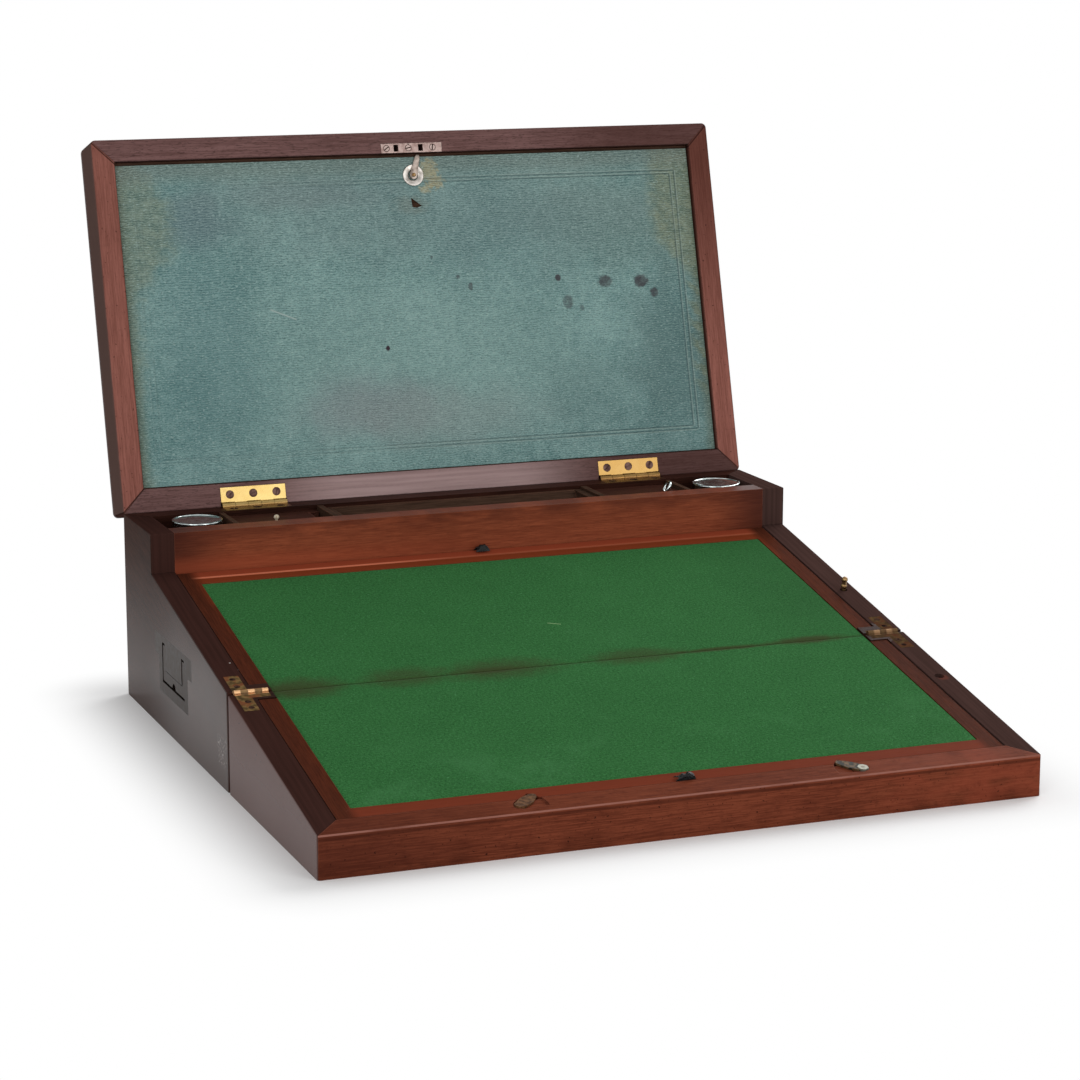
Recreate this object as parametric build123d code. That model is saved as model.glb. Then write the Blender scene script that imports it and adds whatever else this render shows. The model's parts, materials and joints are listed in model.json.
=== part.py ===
"""Triple-opening mahogany writing slope, standing open at its writing pose.

Lengths are in millimetres.  X runs across the slope, Y from the writer to the back and Z up.
The origin is the centre of the rear case's underside.
"""
import os
from math import atan, cos, degrees, radians, sin, tan

from build123d import *

# ---- driving dimensions -------------------------------------------------------------------
width = 457.0               # both cases and the lid
rear_run = 182.0            # fold line to fascia, measured level
raised_depth = 74.0         # fascia to back
front_run = 181.5           # fold line to front edge
fold_height = 62.2          # rim height at the fold line
front_height = 25.8         # rim height at the front edge
hinge_lift = 0.3            # fold axis above the rims
split_gap = 1.6             # between the two cases
board = 16.0                # side, back, fascia and front boards
fold_wall = 14.0            # walls either side of the split
rear_floor = 8.0
front_floor = 6.0
corner_round = 1.8          # upright corners of the cases
edge_round = 0.8            # worn arrises of the rims

lid_angle = 105.3           # how far the lid stands open
lid_thickness = 33.0
lid_top = 6.0
lid_stile = 15.5
lid_front_rail = 15.0
lid_rear_rail = 15.8
lid_rebate = 4.0            # ledge behind the leather panel
lid_corner = 3.5
top_round = 2.5
lid_overhang = 0.2          # lid's front edge past the case's front face
closing_gap = 0.3           # closed lid above the case
panel_sink = 4.5            # panel board below the lid's inner face
panel_board = 5.0
leather = 0.8

flap_gap = 0.8              # flap to rim
flap_front_gap = 1.4        # lower flap to the front rail
flap_back_gap = 2.0         # upper flap to fascia
flap_sink = 0.6             # flap border below the rims
flap_core = 5.0
banding = 1.2
band_width = 11.6           # border at the sides and front
baize = 1.1
band_back = 18.0            # border beside the fascia

rim_hinge_x = (-224.5, -203.0)          # left rim hinge barrel; the right one mirrors it
rim_knuckle = 1.6
lid_hinge_centres = (-137.0, 141.5)
lid_hinge_length = 46.0
lid_knuckle = 2.6
hinge_inset = 0.8           # lid hinge axis inside the back face
leaf_wide = 10.4            # lid hinge leaf past its knuckles
pin_clearance = 0.05

link_plate_x = (-22.0, 23.0)
link_plate_wide = 6.7
lock_bolts_x = (-11.0, 7.2)
bolt_throw = 4.5

drawer_y = (-70.0, 86.5)
drawer_z = (12.0, 66.0)
drawer_length = 150.0
handle_y = 2.0              # centre of each flush handle
handle_z = 44.0
drawer_pin_x = 219.5
drawer_pin_run = 69.4       # up the rim from the fold
pin_travel = 4.0

tray_edges = (-97.0, -93.0, 97.5, 101.5)    # partitions beside the pen tray
well_edges = (-166.0, -163.0, 163.0, 166.0)  # partitions beside the ink wells
well_floor = 75.0
ink_pots = {"left": (-186.5, 93.0), "right": (192.4, 89.5)}
cap_radius = 17.0

# ---- places worked out from them ----------------------------------------------------------
half = width / 2
inner = half - board
back_y = (rear_run + raised_depth) / 2
fold_y = -back_y
fascia_y = fold_y + rear_run
front_y = fold_y - front_run
rear_face = fold_y + split_gap / 2
front_face = fold_y - split_gap / 2
pitch = (fold_height - front_height) / front_run
slope_angle = degrees(atan(pitch))
slope_cos = cos(atan(pitch))
fold_axis = fold_height + hinge_lift
height = 2 * fold_axis
step_height = fold_height + pitch * rear_run
lid_axis_y = back_y - hinge_inset
lid_axis_z = height + closing_gap / 2
lid_reach = lid_axis_y - rear_face + lid_overhang
panel_top = lid_reach - lid_front_rail
flap_edge = inner - flap_gap
flap_floor = flap_sink + banding + flap_core
baize_x = flap_edge - band_width
upper_end = (rear_run - flap_back_gap) / slope_cos
lower_end = (front_run - board - flap_front_gap) / slope_cos
lower_band = band_width - (flap_front_gap - flap_gap) / slope_cos
block_x = baize_x + 0.4
block_run = 10.0
clear = 0.3
spill = 40.0                # how far a cutter runs past what it cuts


def box(x, y, z):
    """Block between two corners, given as (low, high) pairs."""
    size = [high - low for low, high in (x, y, z)]
    middle = [(high + low) / 2 for low, high in (x, y, z)]
    return Pos(*middle) * Box(*size)


def prism(points, z):
    """Upright prism on a plan outline of (x, y) points."""
    outline = Polyline([(x, y, z[0]) for x, y in points], close=True)
    return extrude(make_face(outline), z[1] - z[0], dir=(0, 0, 1))


def profile(points, x):
    """Prism along X with an outline of (y, z) points."""
    outline = Polyline([(x[0], y, z) for y, z in points], close=True)
    return extrude(make_face(outline), x[1] - x[0], dir=(1, 0, 0))


def rod(x, y, z, radius):
    """Cylinder along X."""
    return Pos((x[0] + x[1]) / 2, y, z) * Rot(0, 90, 0) * Cylinder(radius, x[1] - x[0])


def rod_y(x, y, z, radius):
    """Cylinder along Y."""
    return Pos(x, (y[0] + y[1]) / 2, z) * Rot(90, 0, 0) * Cylinder(radius, y[1] - y[0])


def post(x, y, z, radius):
    """Upright cylinder."""
    return Pos(x, y, (z[0] + z[1]) / 2) * Cylinder(radius, z[1] - z[0])


def rim_height(y):
    """Height of the sloping rims above the base."""
    return fold_height + pitch * (y - fold_y)


def mirrored(pair):
    """The same span on the other side of the centre line."""
    return (-pair[1], -pair[0])


def both_sides(shape):
    """A shape and its mirror image across the centre line."""
    return [shape, mirror(shape, Plane.YZ)]


def minus(shape, cutters):
    """A shape with each cutter taken away."""
    for cutter in cutters:
        shape = shape - cutter
    return shape


# Frames: the slope's lies on the rims with Y up the slope from the fold line; the lid's lies on
# its inner face with Y from the hinge to the free edge and Z out of the face.
slope = Pos(0, fold_y, fold_height) * Rot(slope_angle, 0, 0)
lid = (Pos(0, lid_axis_y, lid_axis_z) * Rot(-lid_angle, 0, 0)
       * Pos(0, 0, closing_gap / 2) * Rot(180, 0, 0))


def screw_hole(head, length):
    """Hole that a countersunk screw fills, head level with z = 0 and point downwards."""
    shank = head / 2
    cone_tall = head * 0.7
    cone = Pos(0, 0, -cone_tall / 2) * Cone(shank, head, cone_tall)
    return cone + post(0, 0, (-length, -shank), shank)


def screw(head, length, slot_angle):
    """Slotted countersunk screw."""
    slot_half = 0.3
    slot_deep = 0.6
    slot = box((-head, head), (-slot_half, slot_half), (-slot_deep, head))
    return screw_hole(head, length) - Rot(0, 0, slot_angle) * slot


nodes = {}


def keep(name, *solids):
    """Record a node made of one or more solids."""
    nodes[name] = solids[0] if len(solids) == 1 else Compound(children=list(solids))


# ---- hinges -------------------------------------------------------------------------------
rim_barrels = [rim_hinge_x, mirrored(rim_hinge_x)]
lid_barrels = [(c - lid_hinge_length / 2, c + lid_hinge_length / 2) for c in lid_hinge_centres]
knuckle_count = 5
knuckle_gap = 0.1
rim_pin = 0.7
lid_pin = 1.1


def hinge_leaf(plate, span, y, z, radius, bore, picked):
    """A leaf joined to its picked knuckles, cleared round the other leaf's and bored."""
    pitch_x = (span[1] - span[0]) / knuckle_count
    for i in range(knuckle_count):
        low = span[0] + i * pitch_x
        high = low + pitch_x
        if i in picked:
            plate = plate + rod((low + knuckle_gap, high - knuckle_gap), y, z, radius)
        else:
            plate = plate - rod((low - knuckle_gap, high + knuckle_gap), y, z, radius + clear)
    return plate - rod((span[0] - 1, span[1] + 1), y, z, bore)


# The rim hinges' L-shaped leaves: a bar beside the barrel and a leg along the rim.
rim_leaf = 1.2
leg_wide = 9.5
leaf_near = 0.2             # from the fold line
rear_leaf = {"sign": 1, "leg": 24.0, "bar": 4.5}
front_leaf = {"sign": -1, "leg": 25.0, "bar": 7.5}
rim_screw = (1.9, 8.0)      # head radius and length
rear_screw_places = [(-219.8, 9.0), (-219.8, 19.5)]
front_screw_places = [(-219.0, -12.5), (-219.0, -20.5)]


def rim_leaf_plate(sign, leg, bar, lift=0.0):
    """Plate of the left rim's leaf, or with a lift the recess that takes it."""
    depth = (-rim_leaf, lift)
    bar_plate = box(rim_hinge_x, sorted((sign * leaf_near, sign * bar)), depth)
    leg_x = (rim_hinge_x[0], rim_hinge_x[0] + leg_wide)
    return bar_plate + box(leg_x, sorted((sign * leaf_near, sign * leg)), depth)


def on_rims(shape, places):
    """Copies of a shape at places along the left rim, and their mirror images on the right."""
    return [copy for x, s in places for copy in both_sides(slope * Pos(x, s, 0) * shape)]


def rim_leaves(leaf, picked, places):
    """Both rim leaves of one case."""
    plate = hinge_leaf(slope * rim_leaf_plate(**leaf), rim_hinge_x, fold_y, fold_axis, rim_knuckle,
                       rim_pin + pin_clearance, picked)
    return both_sides(minus(plate, on_rims(screw_hole(*rim_screw), places)[::2]))


rim_recess = [cut for leaf in (rear_leaf, front_leaf)
              for cut in both_sides(slope * rim_leaf_plate(**leaf, lift=3.0))]
rim_recess += [rod((x[0] - clear, x[1] + clear), fold_y, fold_axis, rim_knuckle + clear)
               for x in rim_barrels]
rear_rim_holes = on_rims(screw_hole(*rim_screw), rear_screw_places)
front_rim_holes = on_rims(screw_hole(*rim_screw), front_screw_places)
rear_rim_screws = on_rims(screw(*rim_screw, 40), rear_screw_places)
front_rim_screws = on_rims(screw(*rim_screw, -25), front_screw_places)
keep("case_rim_hinge_leaves", *rim_leaves(rear_leaf, (0, 2, 4), rear_screw_places))
keep("front_rim_hinge_leaves", *rim_leaves(front_leaf, (1, 3), front_screw_places))

leaf_thick = 1.5
lid_screw = (2.9, 9.0)
screw_pitch = 16.5
screw_run = 8.0
screw_tilts = (38, 20, 75)
leaf_run = (0.2, lid_knuckle + leaf_wide)
on_back = Pos(0, lid_axis_y, height) * Rot(0, 0, 180)   # Y towards the writer, Z up
on_lid = [(lid, x) for x in lid_barrels]
on_case = [(on_back, mirrored(x)) for x in lid_barrels]


def leaf_screws(place, span, head_first=False):
    """The three screws of a lid hinge leaf, or the holes that they fill."""
    middle = (span[0] + span[1]) / 2
    for i, tilt in enumerate(screw_tilts):
        spot = place * Pos(middle + (i - 1) * screw_pitch, screw_run, 0)
        yield spot * (screw(*lid_screw, tilt) if head_first else screw_hole(*lid_screw))


def lid_leaf(place, span, barrel, picked):
    """A lid hinge leaf in a frame with Y away from the barrel and Z out of its face."""
    plate = place * box(span, leaf_run, (-leaf_thick, 0))
    leaf = hinge_leaf(plate, barrel, lid_axis_y, lid_axis_z, lid_knuckle,
                      lid_pin + pin_clearance, picked)
    return minus(leaf, leaf_screws(place, span))


keep("lid_hinge_leaves", *[lid_leaf(*on_lid[i], lid_barrels[i], (1, 3)) for i in range(2)])
keep("case_lid_hinge_leaves",
     *[lid_leaf(*on_case[i], lid_barrels[i], (0, 2, 4)) for i in range(2)])
lid_barrel_room = [rod((x[0] - clear, x[1] + clear), lid_axis_y, lid_axis_z, lid_knuckle + clear)
                   for x in lid_barrels]
fold_pins = [rod((x[0] + knuckle_gap, x[1] - knuckle_gap), fold_y, fold_axis, rim_pin)
             for x in rim_barrels]
lid_pins = [rod((x[0] + knuckle_gap, x[1] - knuckle_gap), lid_axis_y, lid_axis_z, lid_pin)
            for x in lid_barrels]
keep("hinge_pins", *fold_pins, *lid_pins)


def leaf_recesses(frames):
    """Recesses for lid hinge leaves and their screws."""
    for place, span in frames:
        yield place * box(span, (-lid_knuckle, leaf_run[1]), (-leaf_thick, 3))
        yield from leaf_screws(place, span)


case_screws = [s for place, span in on_case for s in leaf_screws(place, span, True)]
keep("case_screws", *rear_rim_screws, *case_screws)
keep("front_screws", *front_rim_screws)


# ---- writing slope fittings ---------------------------------------------------------------
catch_pivots = {"left": (-105.2, -175.6), "right": (111.9, -176.6)}
catch_leaf = ((0.0, 3.4), (7.4, 4.2), (14.2, 2.6))  # runs along the leaf and its radii there
catch_sweep_to = 17.2
catch_rest = 40.5           # leaf's angle off the front edge, held over the flap
catch_swing = 36.0          # from there to clear of the flap
catch_depth = (-0.9, 0.25)
catch_bed = -1.2
catch_margin = 0.4
catch_stem = 1.4
catch_stem_foot = -8.0
button_radius = 3.2
button_top = 0.75
catch_spread = max(radius for run, radius in catch_leaf) + catch_margin


def catch(side):
    """Turn catch: a leaf with a round button, on a stem into the front rail."""
    x, s = catch_pivots[side]
    way = 1 if side == "left" else -1
    outline = make_hull([Pos(run, 0) * Edge.make_circle(radius) for run, radius in catch_leaf])
    leaf = Pos(0, 0, catch_depth[0]) * extrude(make_face(outline), catch_depth[1] - catch_depth[0])
    button = post(0, 0, (catch_depth[1], button_top), button_radius)
    stem = post(0, 0, (catch_stem_foot, catch_depth[0]), catch_stem)
    turn = catch_rest if way > 0 else 180 - catch_rest
    return slope * Pos(x, s, 0) * Rot(0, 0, turn) * (leaf + button + stem)


def catch_room(side, floor):
    """Bed that the leaf sweeps, sunk to a floor, and the bore of its stem."""
    x, s = catch_pivots[side]
    way = 1 if side == "left" else -1
    deep = (floor, 5)
    sweep = []
    for turn, edge in ((catch_rest - catch_swing, -1), (catch_rest, 1)):
        along = Vector(cos(radians(turn)), sin(radians(turn)))
        across = Vector(-along.Y, along.X) * edge * catch_spread
        sweep.append((across, across + along * (catch_sweep_to * 1.5)))
    points = [sweep[0][0], sweep[0][1], sweep[1][1], sweep[1][0]]
    fan = prism([(way * p.X, p.Y) for p in points], deep)
    bed = fan & post(0, 0, deep, catch_sweep_to)
    bed = bed + post(0, 0, deep, catch_leaf[0][1] + catch_margin)
    bore = post(0, 0, (catch_stem_foot - catch_margin, 0), catch_stem + pin_clearance)
    return slope * Pos(x, s, 0) * (bed + bore)


catch_rooms = [catch_room(side, catch_bed) for side in catch_pivots]
flap_notches = [catch_room(side, -spill) for side in catch_pivots]
for side in catch_pivots:
    keep(side + "_flap_catch", catch(side))

bead = 2.1
bead_heights = (7.4, 2.7)
pin_radius = 1.5
pin_below = 0.4             # drawer pin's foot above the drawer front
pin_run = 0.3               # its clearance in the drawer front's socket
pin_head_radius = 2.9       # the hollow in the folded front case's rim that clears its head
pin_head_deep = 11.5
pin_top = (rim_height(fold_y + drawer_pin_run * slope_cos) - drawer_z[1]) / slope_cos
pin_place = slope * Pos(drawer_pin_x, drawer_pin_run, 0)
pin_body = post(0, 0, (pin_below - pin_top, bead_heights[0]), pin_radius)
for bead_height in bead_heights:
    pin_body = pin_body + Pos(0, 0, bead_height) * Sphere(bead)
keep("drawer_pin", pin_place * pin_body)
pin_bore = pin_place * (post(0, 0, (-spill, 5), pin_radius + pin_clearance)
                        + post(0, 0, (-pin_travel - 0.2, 5), bead + clear))
pin_socket = pin_place * post(0, 0, (-pin_top - pin_travel - 1, 5 - pin_top), pin_radius + pin_run)
pin_head_room = (slope * Pos(drawer_pin_x, -drawer_pin_run, 0)
                 * post(0, 0, (-pin_head_deep, 5), pin_head_radius))

# ---- flush carrying handles ---------------------------------------------------------------
ear = (46.0, 6.5)           # half length of the ears, and their half height
plate_half = 36.0
plate_foot = -19.0
bail_half = 27.0
bail_drop = 22.0
bail_pivot = 11.5           # above the handle's centre
bail_arm = 5.5
bail_bar = 7.0
bail_thick = 3.0
handle_plate = 2.0
scoop_depth = 9.0           # hollow for a fingertip behind the notch
scoop_radius = 5.5
bail_room = 4.8             # depth of the channel that the bail lies in


lug_thick = 6.2             # lugs behind the plate that carry the bail's axles
lug_run = 7.4
lug_half = 4.0
bail_gap = 0.6
bail_sink = 0.3             # bail below the plate's face
axle = 1.3
axle_run = 5.5
notch_radius = 4.0          # finger notch in the bail's lower bar


def handle_parts():
    """Right handle about its own centre: plate, bail and the room cut for them, X outwards."""
    low = bail_pivot - bail_drop
    ears = box((-handle_plate, 0), (-ear[0], ear[0]), (bail_pivot - ear[1], bail_pivot + ear[1] + 1))
    face = ears + box((-handle_plate, 0), (-plate_half, plate_half), (plate_foot, bail_pivot))
    mouth_y = (-bail_half - bail_gap, bail_half + bail_gap)
    mouth_z = (low - 1.5, bail_pivot + 3.2)
    hole_half = bail_half - bail_arm
    island_y = (bail_gap - hole_half, hole_half - bail_gap)
    island_z = (low + bail_bar + bail_gap, spill)
    lug_z = (bail_pivot - lug_half, bail_pivot + lug_half)
    channel = box((-spill, 1), mouth_y, mouth_z) - box((-spill, 2), island_y, island_z)
    plate = face - channel
    room = face + (channel & box((-bail_room, 0), mouth_y, mouth_z))
    room = room + rod((-scoop_depth, -1), 0, low - 0.5, scoop_radius)
    for span in ((mouth_y[0] - lug_run, mouth_y[0]), (mouth_y[1], mouth_y[1] + lug_run)):
        plate = plate + box((-lug_thick, -handle_plate), span, lug_z)
        room = room + box((-lug_thick - clear, -1), (span[0] - clear, span[1] + clear),
                          (lug_z[0] - clear, lug_z[1] + clear))
    axle_x = -bail_sink - bail_thick / 2
    axle_y = (-bail_half - axle_run, bail_half + axle_run)
    bore_y = (axle_y[0] - 0.5, axle_y[1] + 0.5)
    for bore_end in ((bore_y[0], -hole_half), (hole_half, bore_y[1])):
        plate = plate - rod_y(axle_x, bore_end, bail_pivot, axle + pin_clearance)
    bail_x = (-bail_sink - bail_thick, -bail_sink)
    frame = box(bail_x, (-bail_half, bail_half), (low, bail_pivot + 1.5))
    frame = frame - box((-spill, spill), (-hole_half, hole_half), (low + bail_bar, spill))
    frame = frame - rod((-spill, spill), 0, low - 0.5, notch_radius)
    for end in ((axle_y[0], -bail_half + 1), (bail_half - 1, axle_y[1])):
        frame = frame + rod_y(axle_x, end, bail_pivot, axle)
    return plate, frame, room


handle_solids = handle_parts()
right_place = Pos(half, handle_y, handle_z)
right_handle = [right_place * solid for solid in handle_solids]
left_handle = [mirror(solid, Plane.YZ) for solid in right_handle]
keep("left_handle_plate", left_handle[0])
keep("left_bail", left_handle[1])
keep("right_handle_plate", right_handle[0])
keep("right_bail", right_handle[1])

# ---- rear case ----------------------------------------------------------------------------
rear_outline = profile([(rear_face, 0), (back_y, 0), (back_y, height), (fascia_y, height),
                        (fascia_y, step_height), (rear_face, rim_height(rear_face))],
                       (-half, half))


def upright_corners(low_y, high_y, radius):
    """Block with rounded upright corners that the case boards are cut from."""
    plan = Pos(0, (low_y + high_y) / 2) * RectangleRounded(width, high_y - low_y, radius)
    return extrude(plan, height * 2)


def soften(block, step_z):
    """Round the top arrises of a case block, all but the inside corner at the step."""
    edges = [e for e in block.edges()
             if e.center().Z > front_height / 2 and abs((e @ 1 - e @ 0).Z) < e.length * 0.5
             and not (abs(e.center().Z - step_z) < 0.1 and abs(e.center().X) < 1)]
    return fillet(edges, edge_round)


rear_block = soften(rear_outline & upright_corners(rear_face, back_y, corner_round), step_height)


def mitred_side(low_y, low_wall, high_y, high_wall):
    """Plan of the right side board, mitred to the boards at its two ends."""
    points = [(half, low_y), (half, high_y), (inner, high_y - high_wall), (inner, low_y + low_wall)]
    return prism(points, (0, height))


def mitred_end(y, wall):
    """Plan of an end board whose outer face is at y; wall is signed towards the inside."""
    points = [(-half, y), (half, y), (inner, y + wall), (-inner, y + wall)]
    return prism(points, (0, height))


# Room in the fold walls for the flaps: right across, but for a block beside each rim.
under_flap = -flap_floor - 0.1
flap_room_z = (under_flap, spill)
past_wall = block_run + fold_wall
flap_room = [slope * box((-block_x, block_x), (-past_wall, past_wall), flap_room_z),
             slope * box((-inner, inner), (block_run, past_wall), flap_room_z),
             slope * box((-inner, inner), (-past_wall, -block_run), flap_room_z)]
# Slanted faces that meet behind the lid's hinge and hold the lid open.
stop_run = 3.0
stop_deep = stop_run * tan(radians(lid_angle / 2 + 1.5))
case_stop = profile([(lid_axis_y, lid_axis_z), (lid_axis_y + stop_run, lid_axis_z + stop_run),
                     (lid_axis_y + stop_run, lid_axis_z - stop_deep)], (-half, half))
lid_stop = profile([(-stop_run, -stop_run), (0, 0), (-stop_run, stop_deep)], (-half, half))
rear_block = rear_block - case_stop
rear_side = rear_block & mitred_side(rear_face, fold_wall, back_y, board)
rear_right = minus(rear_side, rim_recess + rear_rim_holes)
rear_left = minus(mirror(rear_side, Plane.YZ), rim_recess + rear_rim_holes)
drawer_hole = box((inner - 1, half + 1), drawer_y, drawer_z)
keep("rear_right_side", minus(rear_right, [drawer_hole, pin_bore]))
keep("rear_left_side", rear_left - left_handle[2])
keep("rear_back_board", minus(rear_block & mitred_end(back_y, -board),
                              [*leaf_recesses(on_case), *lid_barrel_room]))
keep("rear_fold_wall", minus(rear_block & mitred_end(rear_face, fold_wall),
                             [*flap_room, *rim_recess, *rear_rim_holes]))
bottom_y = (rear_face + fold_wall, back_y - board)
keep("rear_bottom_board", box((-inner, inner), bottom_y, (0, rear_floor)))

# Housing that the drawer slides in: guides, an end wall, a dust board and two runners.
housing_x = 56.0
partition = 4.0
dust_board = 2.5
guide_gap = 0.5
runner = 9.0
drawer_room = drawer_z[1] - dust_board
fascia_board = box((-inner, inner), (fascia_y, fascia_y + board), (rear_floor, height))
keep("rear_fascia", fascia_board - box((housing_x, inner + 1), (fascia_y - 1, fascia_y + board + 1),
                                       (0, drawer_z[1])))
guide_y = [(drawer_y[0] - guide_gap - partition, drawer_y[0] - guide_gap),
           (drawer_y[1] + guide_gap, drawer_y[1] + guide_gap + partition)]
keep("drawer_housing",
     box((housing_x, inner), (guide_y[0][1], guide_y[1][1]), (drawer_room, drawer_z[1])),
     box((housing_x, housing_x + partition), (guide_y[0][1], guide_y[1][0]),
         (rear_floor, drawer_room)),
     *[box((housing_x, inner), y, (rear_floor, drawer_room)) for y in guide_y],
     *[box((housing_x + partition, inner), y, (rear_floor, drawer_z[0]))
       for y in ((guide_y[0][1], guide_y[0][1] + runner), (guide_y[1][0] - runner, guide_y[1][0]))])

# Ledges under the flaps' edges; the drawer housing interrupts the right one.
ledge_wide = 6.5
ledge_deep = 5.0
ledge_gap = 3.0             # clear of the walls that the ledges lean towards
ledge = (under_flap - ledge_deep, under_flap)
ledge_x = (inner - ledge_wide, inner)
cross_ledge_x = (ledge_wide - inner, inner - ledge_wide)
wall_run = (fold_wall + split_gap / 2) / slope_cos
ledge_start = wall_run + 2
ledge_back = rear_run / slope_cos - ledge_gap
housing_run = (guide_y[0][0] - fold_y) / slope_cos
ledge_over_drawer = 84.0    # from here on the ledge clears the housing
keep("rear_flap_ledges",
     slope * box(mirrored(ledge_x), (ledge_start, ledge_back), ledge),
     slope * box(ledge_x, (ledge_start, housing_run - ledge_gap), ledge),
     slope * box(ledge_x, (ledge_over_drawer, ledge_back), ledge),
     slope * box(cross_ledge_x, (ledge_back - ledge_wide, ledge_back), ledge))

# ---- pen tray and ink wells ---------------------------------------------------------------
tray_y = (fascia_y + board, back_y - board)
tray_gap = 0.5              # round the lift-out pieces
partition_top = height - 0.6
cover_top = height - 3.6
cover_thick = 4.0
cleat = (2.5, 4.0)          # cleats that the covers and the tray rest on
rest_top = cover_top - cover_thick
tray_top = height - 2.4
tray_deep = 13.0
tray_floor = 3.0
walls = list(zip((*well_edges[:1], tray_edges[0], tray_edges[2], well_edges[2]),
                 (well_edges[1], tray_edges[1], tray_edges[3], well_edges[3])))
floor = box((-inner, inner), tray_y, (well_floor - tray_floor, well_floor))
dividers = [box(x, tray_y, (well_floor, partition_top)) for x in walls]
rests = [(walls[0][1], rest_top, 1), (walls[1][0], rest_top, -1),
         (walls[2][1], rest_top, 1), (walls[3][0], rest_top, -1),
         (walls[1][1], tray_top - tray_deep, 1), (walls[2][0], tray_top - tray_deep, -1)]
cleats = [box(sorted((x, x + way * cleat[0])), tray_y, (top - cleat[1], top)) for x, top, way in rests]
keep("tray_partitions", floor, *dividers, *cleats)

cover_y = (tray_y[0] + tray_gap, tray_y[1] - tray_gap)
cover_z = (rest_top, cover_top)
finger_gap = 8.0
cover_lip = 6.0             # strip of the left cover behind its finger gap
knob = {"x": -134.0, "y": 84.0, "stalk": 1.0, "neck": 2.2, "ball": 1.8, "rise": 3.2}
left_board = box((walls[0][1] + tray_gap, walls[1][0] - finger_gap), cover_y, cover_z)
left_board = left_board + box((walls[1][0] - finger_gap, walls[1][0] - tray_gap),
                              (cover_y[1] - cover_lip, cover_y[1]), cover_z)
left_knob = post(knob["x"], knob["y"], (cover_top, cover_top + knob["neck"]), knob["stalk"])
left_knob = left_knob + Pos(knob["x"], knob["y"], cover_top + knob["rise"]) * Sphere(knob["ball"])
keep("left_cover", left_board, left_knob)

loop = {"x": 155.0, "y": 88.0, "wire": 0.7, "radius": 4.0, "leg": 2.0}
arch_z = cover_top + loop["leg"]
right_loop = Pos(loop["x"], loop["y"], arch_z) * Rot(90, 0, 0) * Torus(loop["radius"], loop["wire"])
right_loop = right_loop & box((0, half), tray_y, (arch_z, height * 2))
for x in (loop["x"] - loop["radius"], loop["x"] + loop["radius"]):
    right_loop = right_loop + post(x, loop["y"], (cover_top, arch_z), loop["wire"])
right_board = box((walls[2][1] + tray_gap, walls[3][0] - tray_gap), cover_y, cover_z)
keep("right_cover", right_board, right_loop)

cove_half = 15.0
cove_deep = 9.0
cove_end = 5.0              # solid wood at each end of the cove
cove_back = 3.0
cove_radius = (cove_half ** 2 + cove_deep ** 2) / (2 * cove_deep)
cove_y = tray_y[1] - cove_back - cove_half
tray_x = (tray_edges[1] + tray_gap, tray_edges[2] - tray_gap)
tray_block = box(tray_x, cover_y, (tray_top - tray_deep, tray_top))
cove_x = (tray_x[0] + cove_end, tray_x[1] - cove_end)
keep("pen_tray", tray_block - rod(cove_x, cove_y, tray_top - cove_deep + cove_radius, cove_radius))

bottle_half = 18.0
bottle_foot = well_floor + 0.2
bottle_shoulder = 108.0
collar_foot = 112.5
collar_radius = 15.2
bottle_corner = 3.5
ink_floor = 9.0             # glass under the ink
bore = 8.0
neck = 11.7
cap_skirt = 116.4
cap_top = height
cap_wall = 2.2              # metal above the neck


def ink_pot(x, y):
    """Square glass bottle with a round neck, and the silver cap that turns on it."""
    plan = Pos(x, y) * RectangleRounded(2 * bottle_half, 2 * bottle_half, bottle_corner)
    round_plan = RectangleRounded(1.5 * bottle_half, 1.5 * bottle_half, 0.65 * bottle_half)
    glass = Pos(0, 0, bottle_foot) * extrude(plan, bottle_shoulder - bottle_foot)
    glass = glass + loft([Pos(0, 0, bottle_shoulder) * plan, Pos(x, y, collar_foot) * round_plan])
    glass = glass + post(x, y, (collar_foot, cap_skirt - 0.2), collar_radius)
    glass = glass + post(x, y, (cap_skirt - 0.2, cap_top - cap_wall - 0.2), neck)
    glass = glass - post(x, y, (well_floor + ink_floor, cap_top), bore)
    cap = post(x, y, (cap_skirt, cap_top), cap_radius)
    cap = fillet(cap.edges().group_by(Axis.Z)[-1], edge_round)
    cap = cap - post(x, y, (0, cap_top - cap_wall), neck + clear)
    return glass, cap


for side, place in ink_pots.items():
    bottle, cap = ink_pot(*place)
    keep(side + "_ink_bottle", bottle)
    keep(side + "_ink_cap", cap)

# ---- drawer -------------------------------------------------------------------------------
drawer_gap = 0.35
drawer_wall = 6.0
face_y = (drawer_y[0] + drawer_gap, drawer_y[1] - drawer_gap)
face_z = (drawer_z[0] + drawer_gap, drawer_z[1] - drawer_gap)
drawer_face = box((inner, half), face_y, face_z)
keep("drawer_front", minus(drawer_face, [right_handle[2], pin_socket]))
drawer_floor = (0.5, 4.5)   # above the sides' lower edges
shell_x = (inner - drawer_length, inner)
shell_z = (face_z[0], drawer_room - 1.0)
inside_y = (face_y[0] + drawer_wall, face_y[1] - drawer_wall)
keep("drawer_sides", box(shell_x, (face_y[0], inside_y[0]), shell_z),
     box(shell_x, (inside_y[1], face_y[1]), shell_z),
     box((shell_x[0], shell_x[0] + drawer_wall), inside_y, shell_z))
keep("drawer_bottom", box((shell_x[0] + drawer_wall, shell_x[1]), inside_y,
                          (shell_z[0] + drawer_floor[0], shell_z[0] + drawer_floor[1])))

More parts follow.
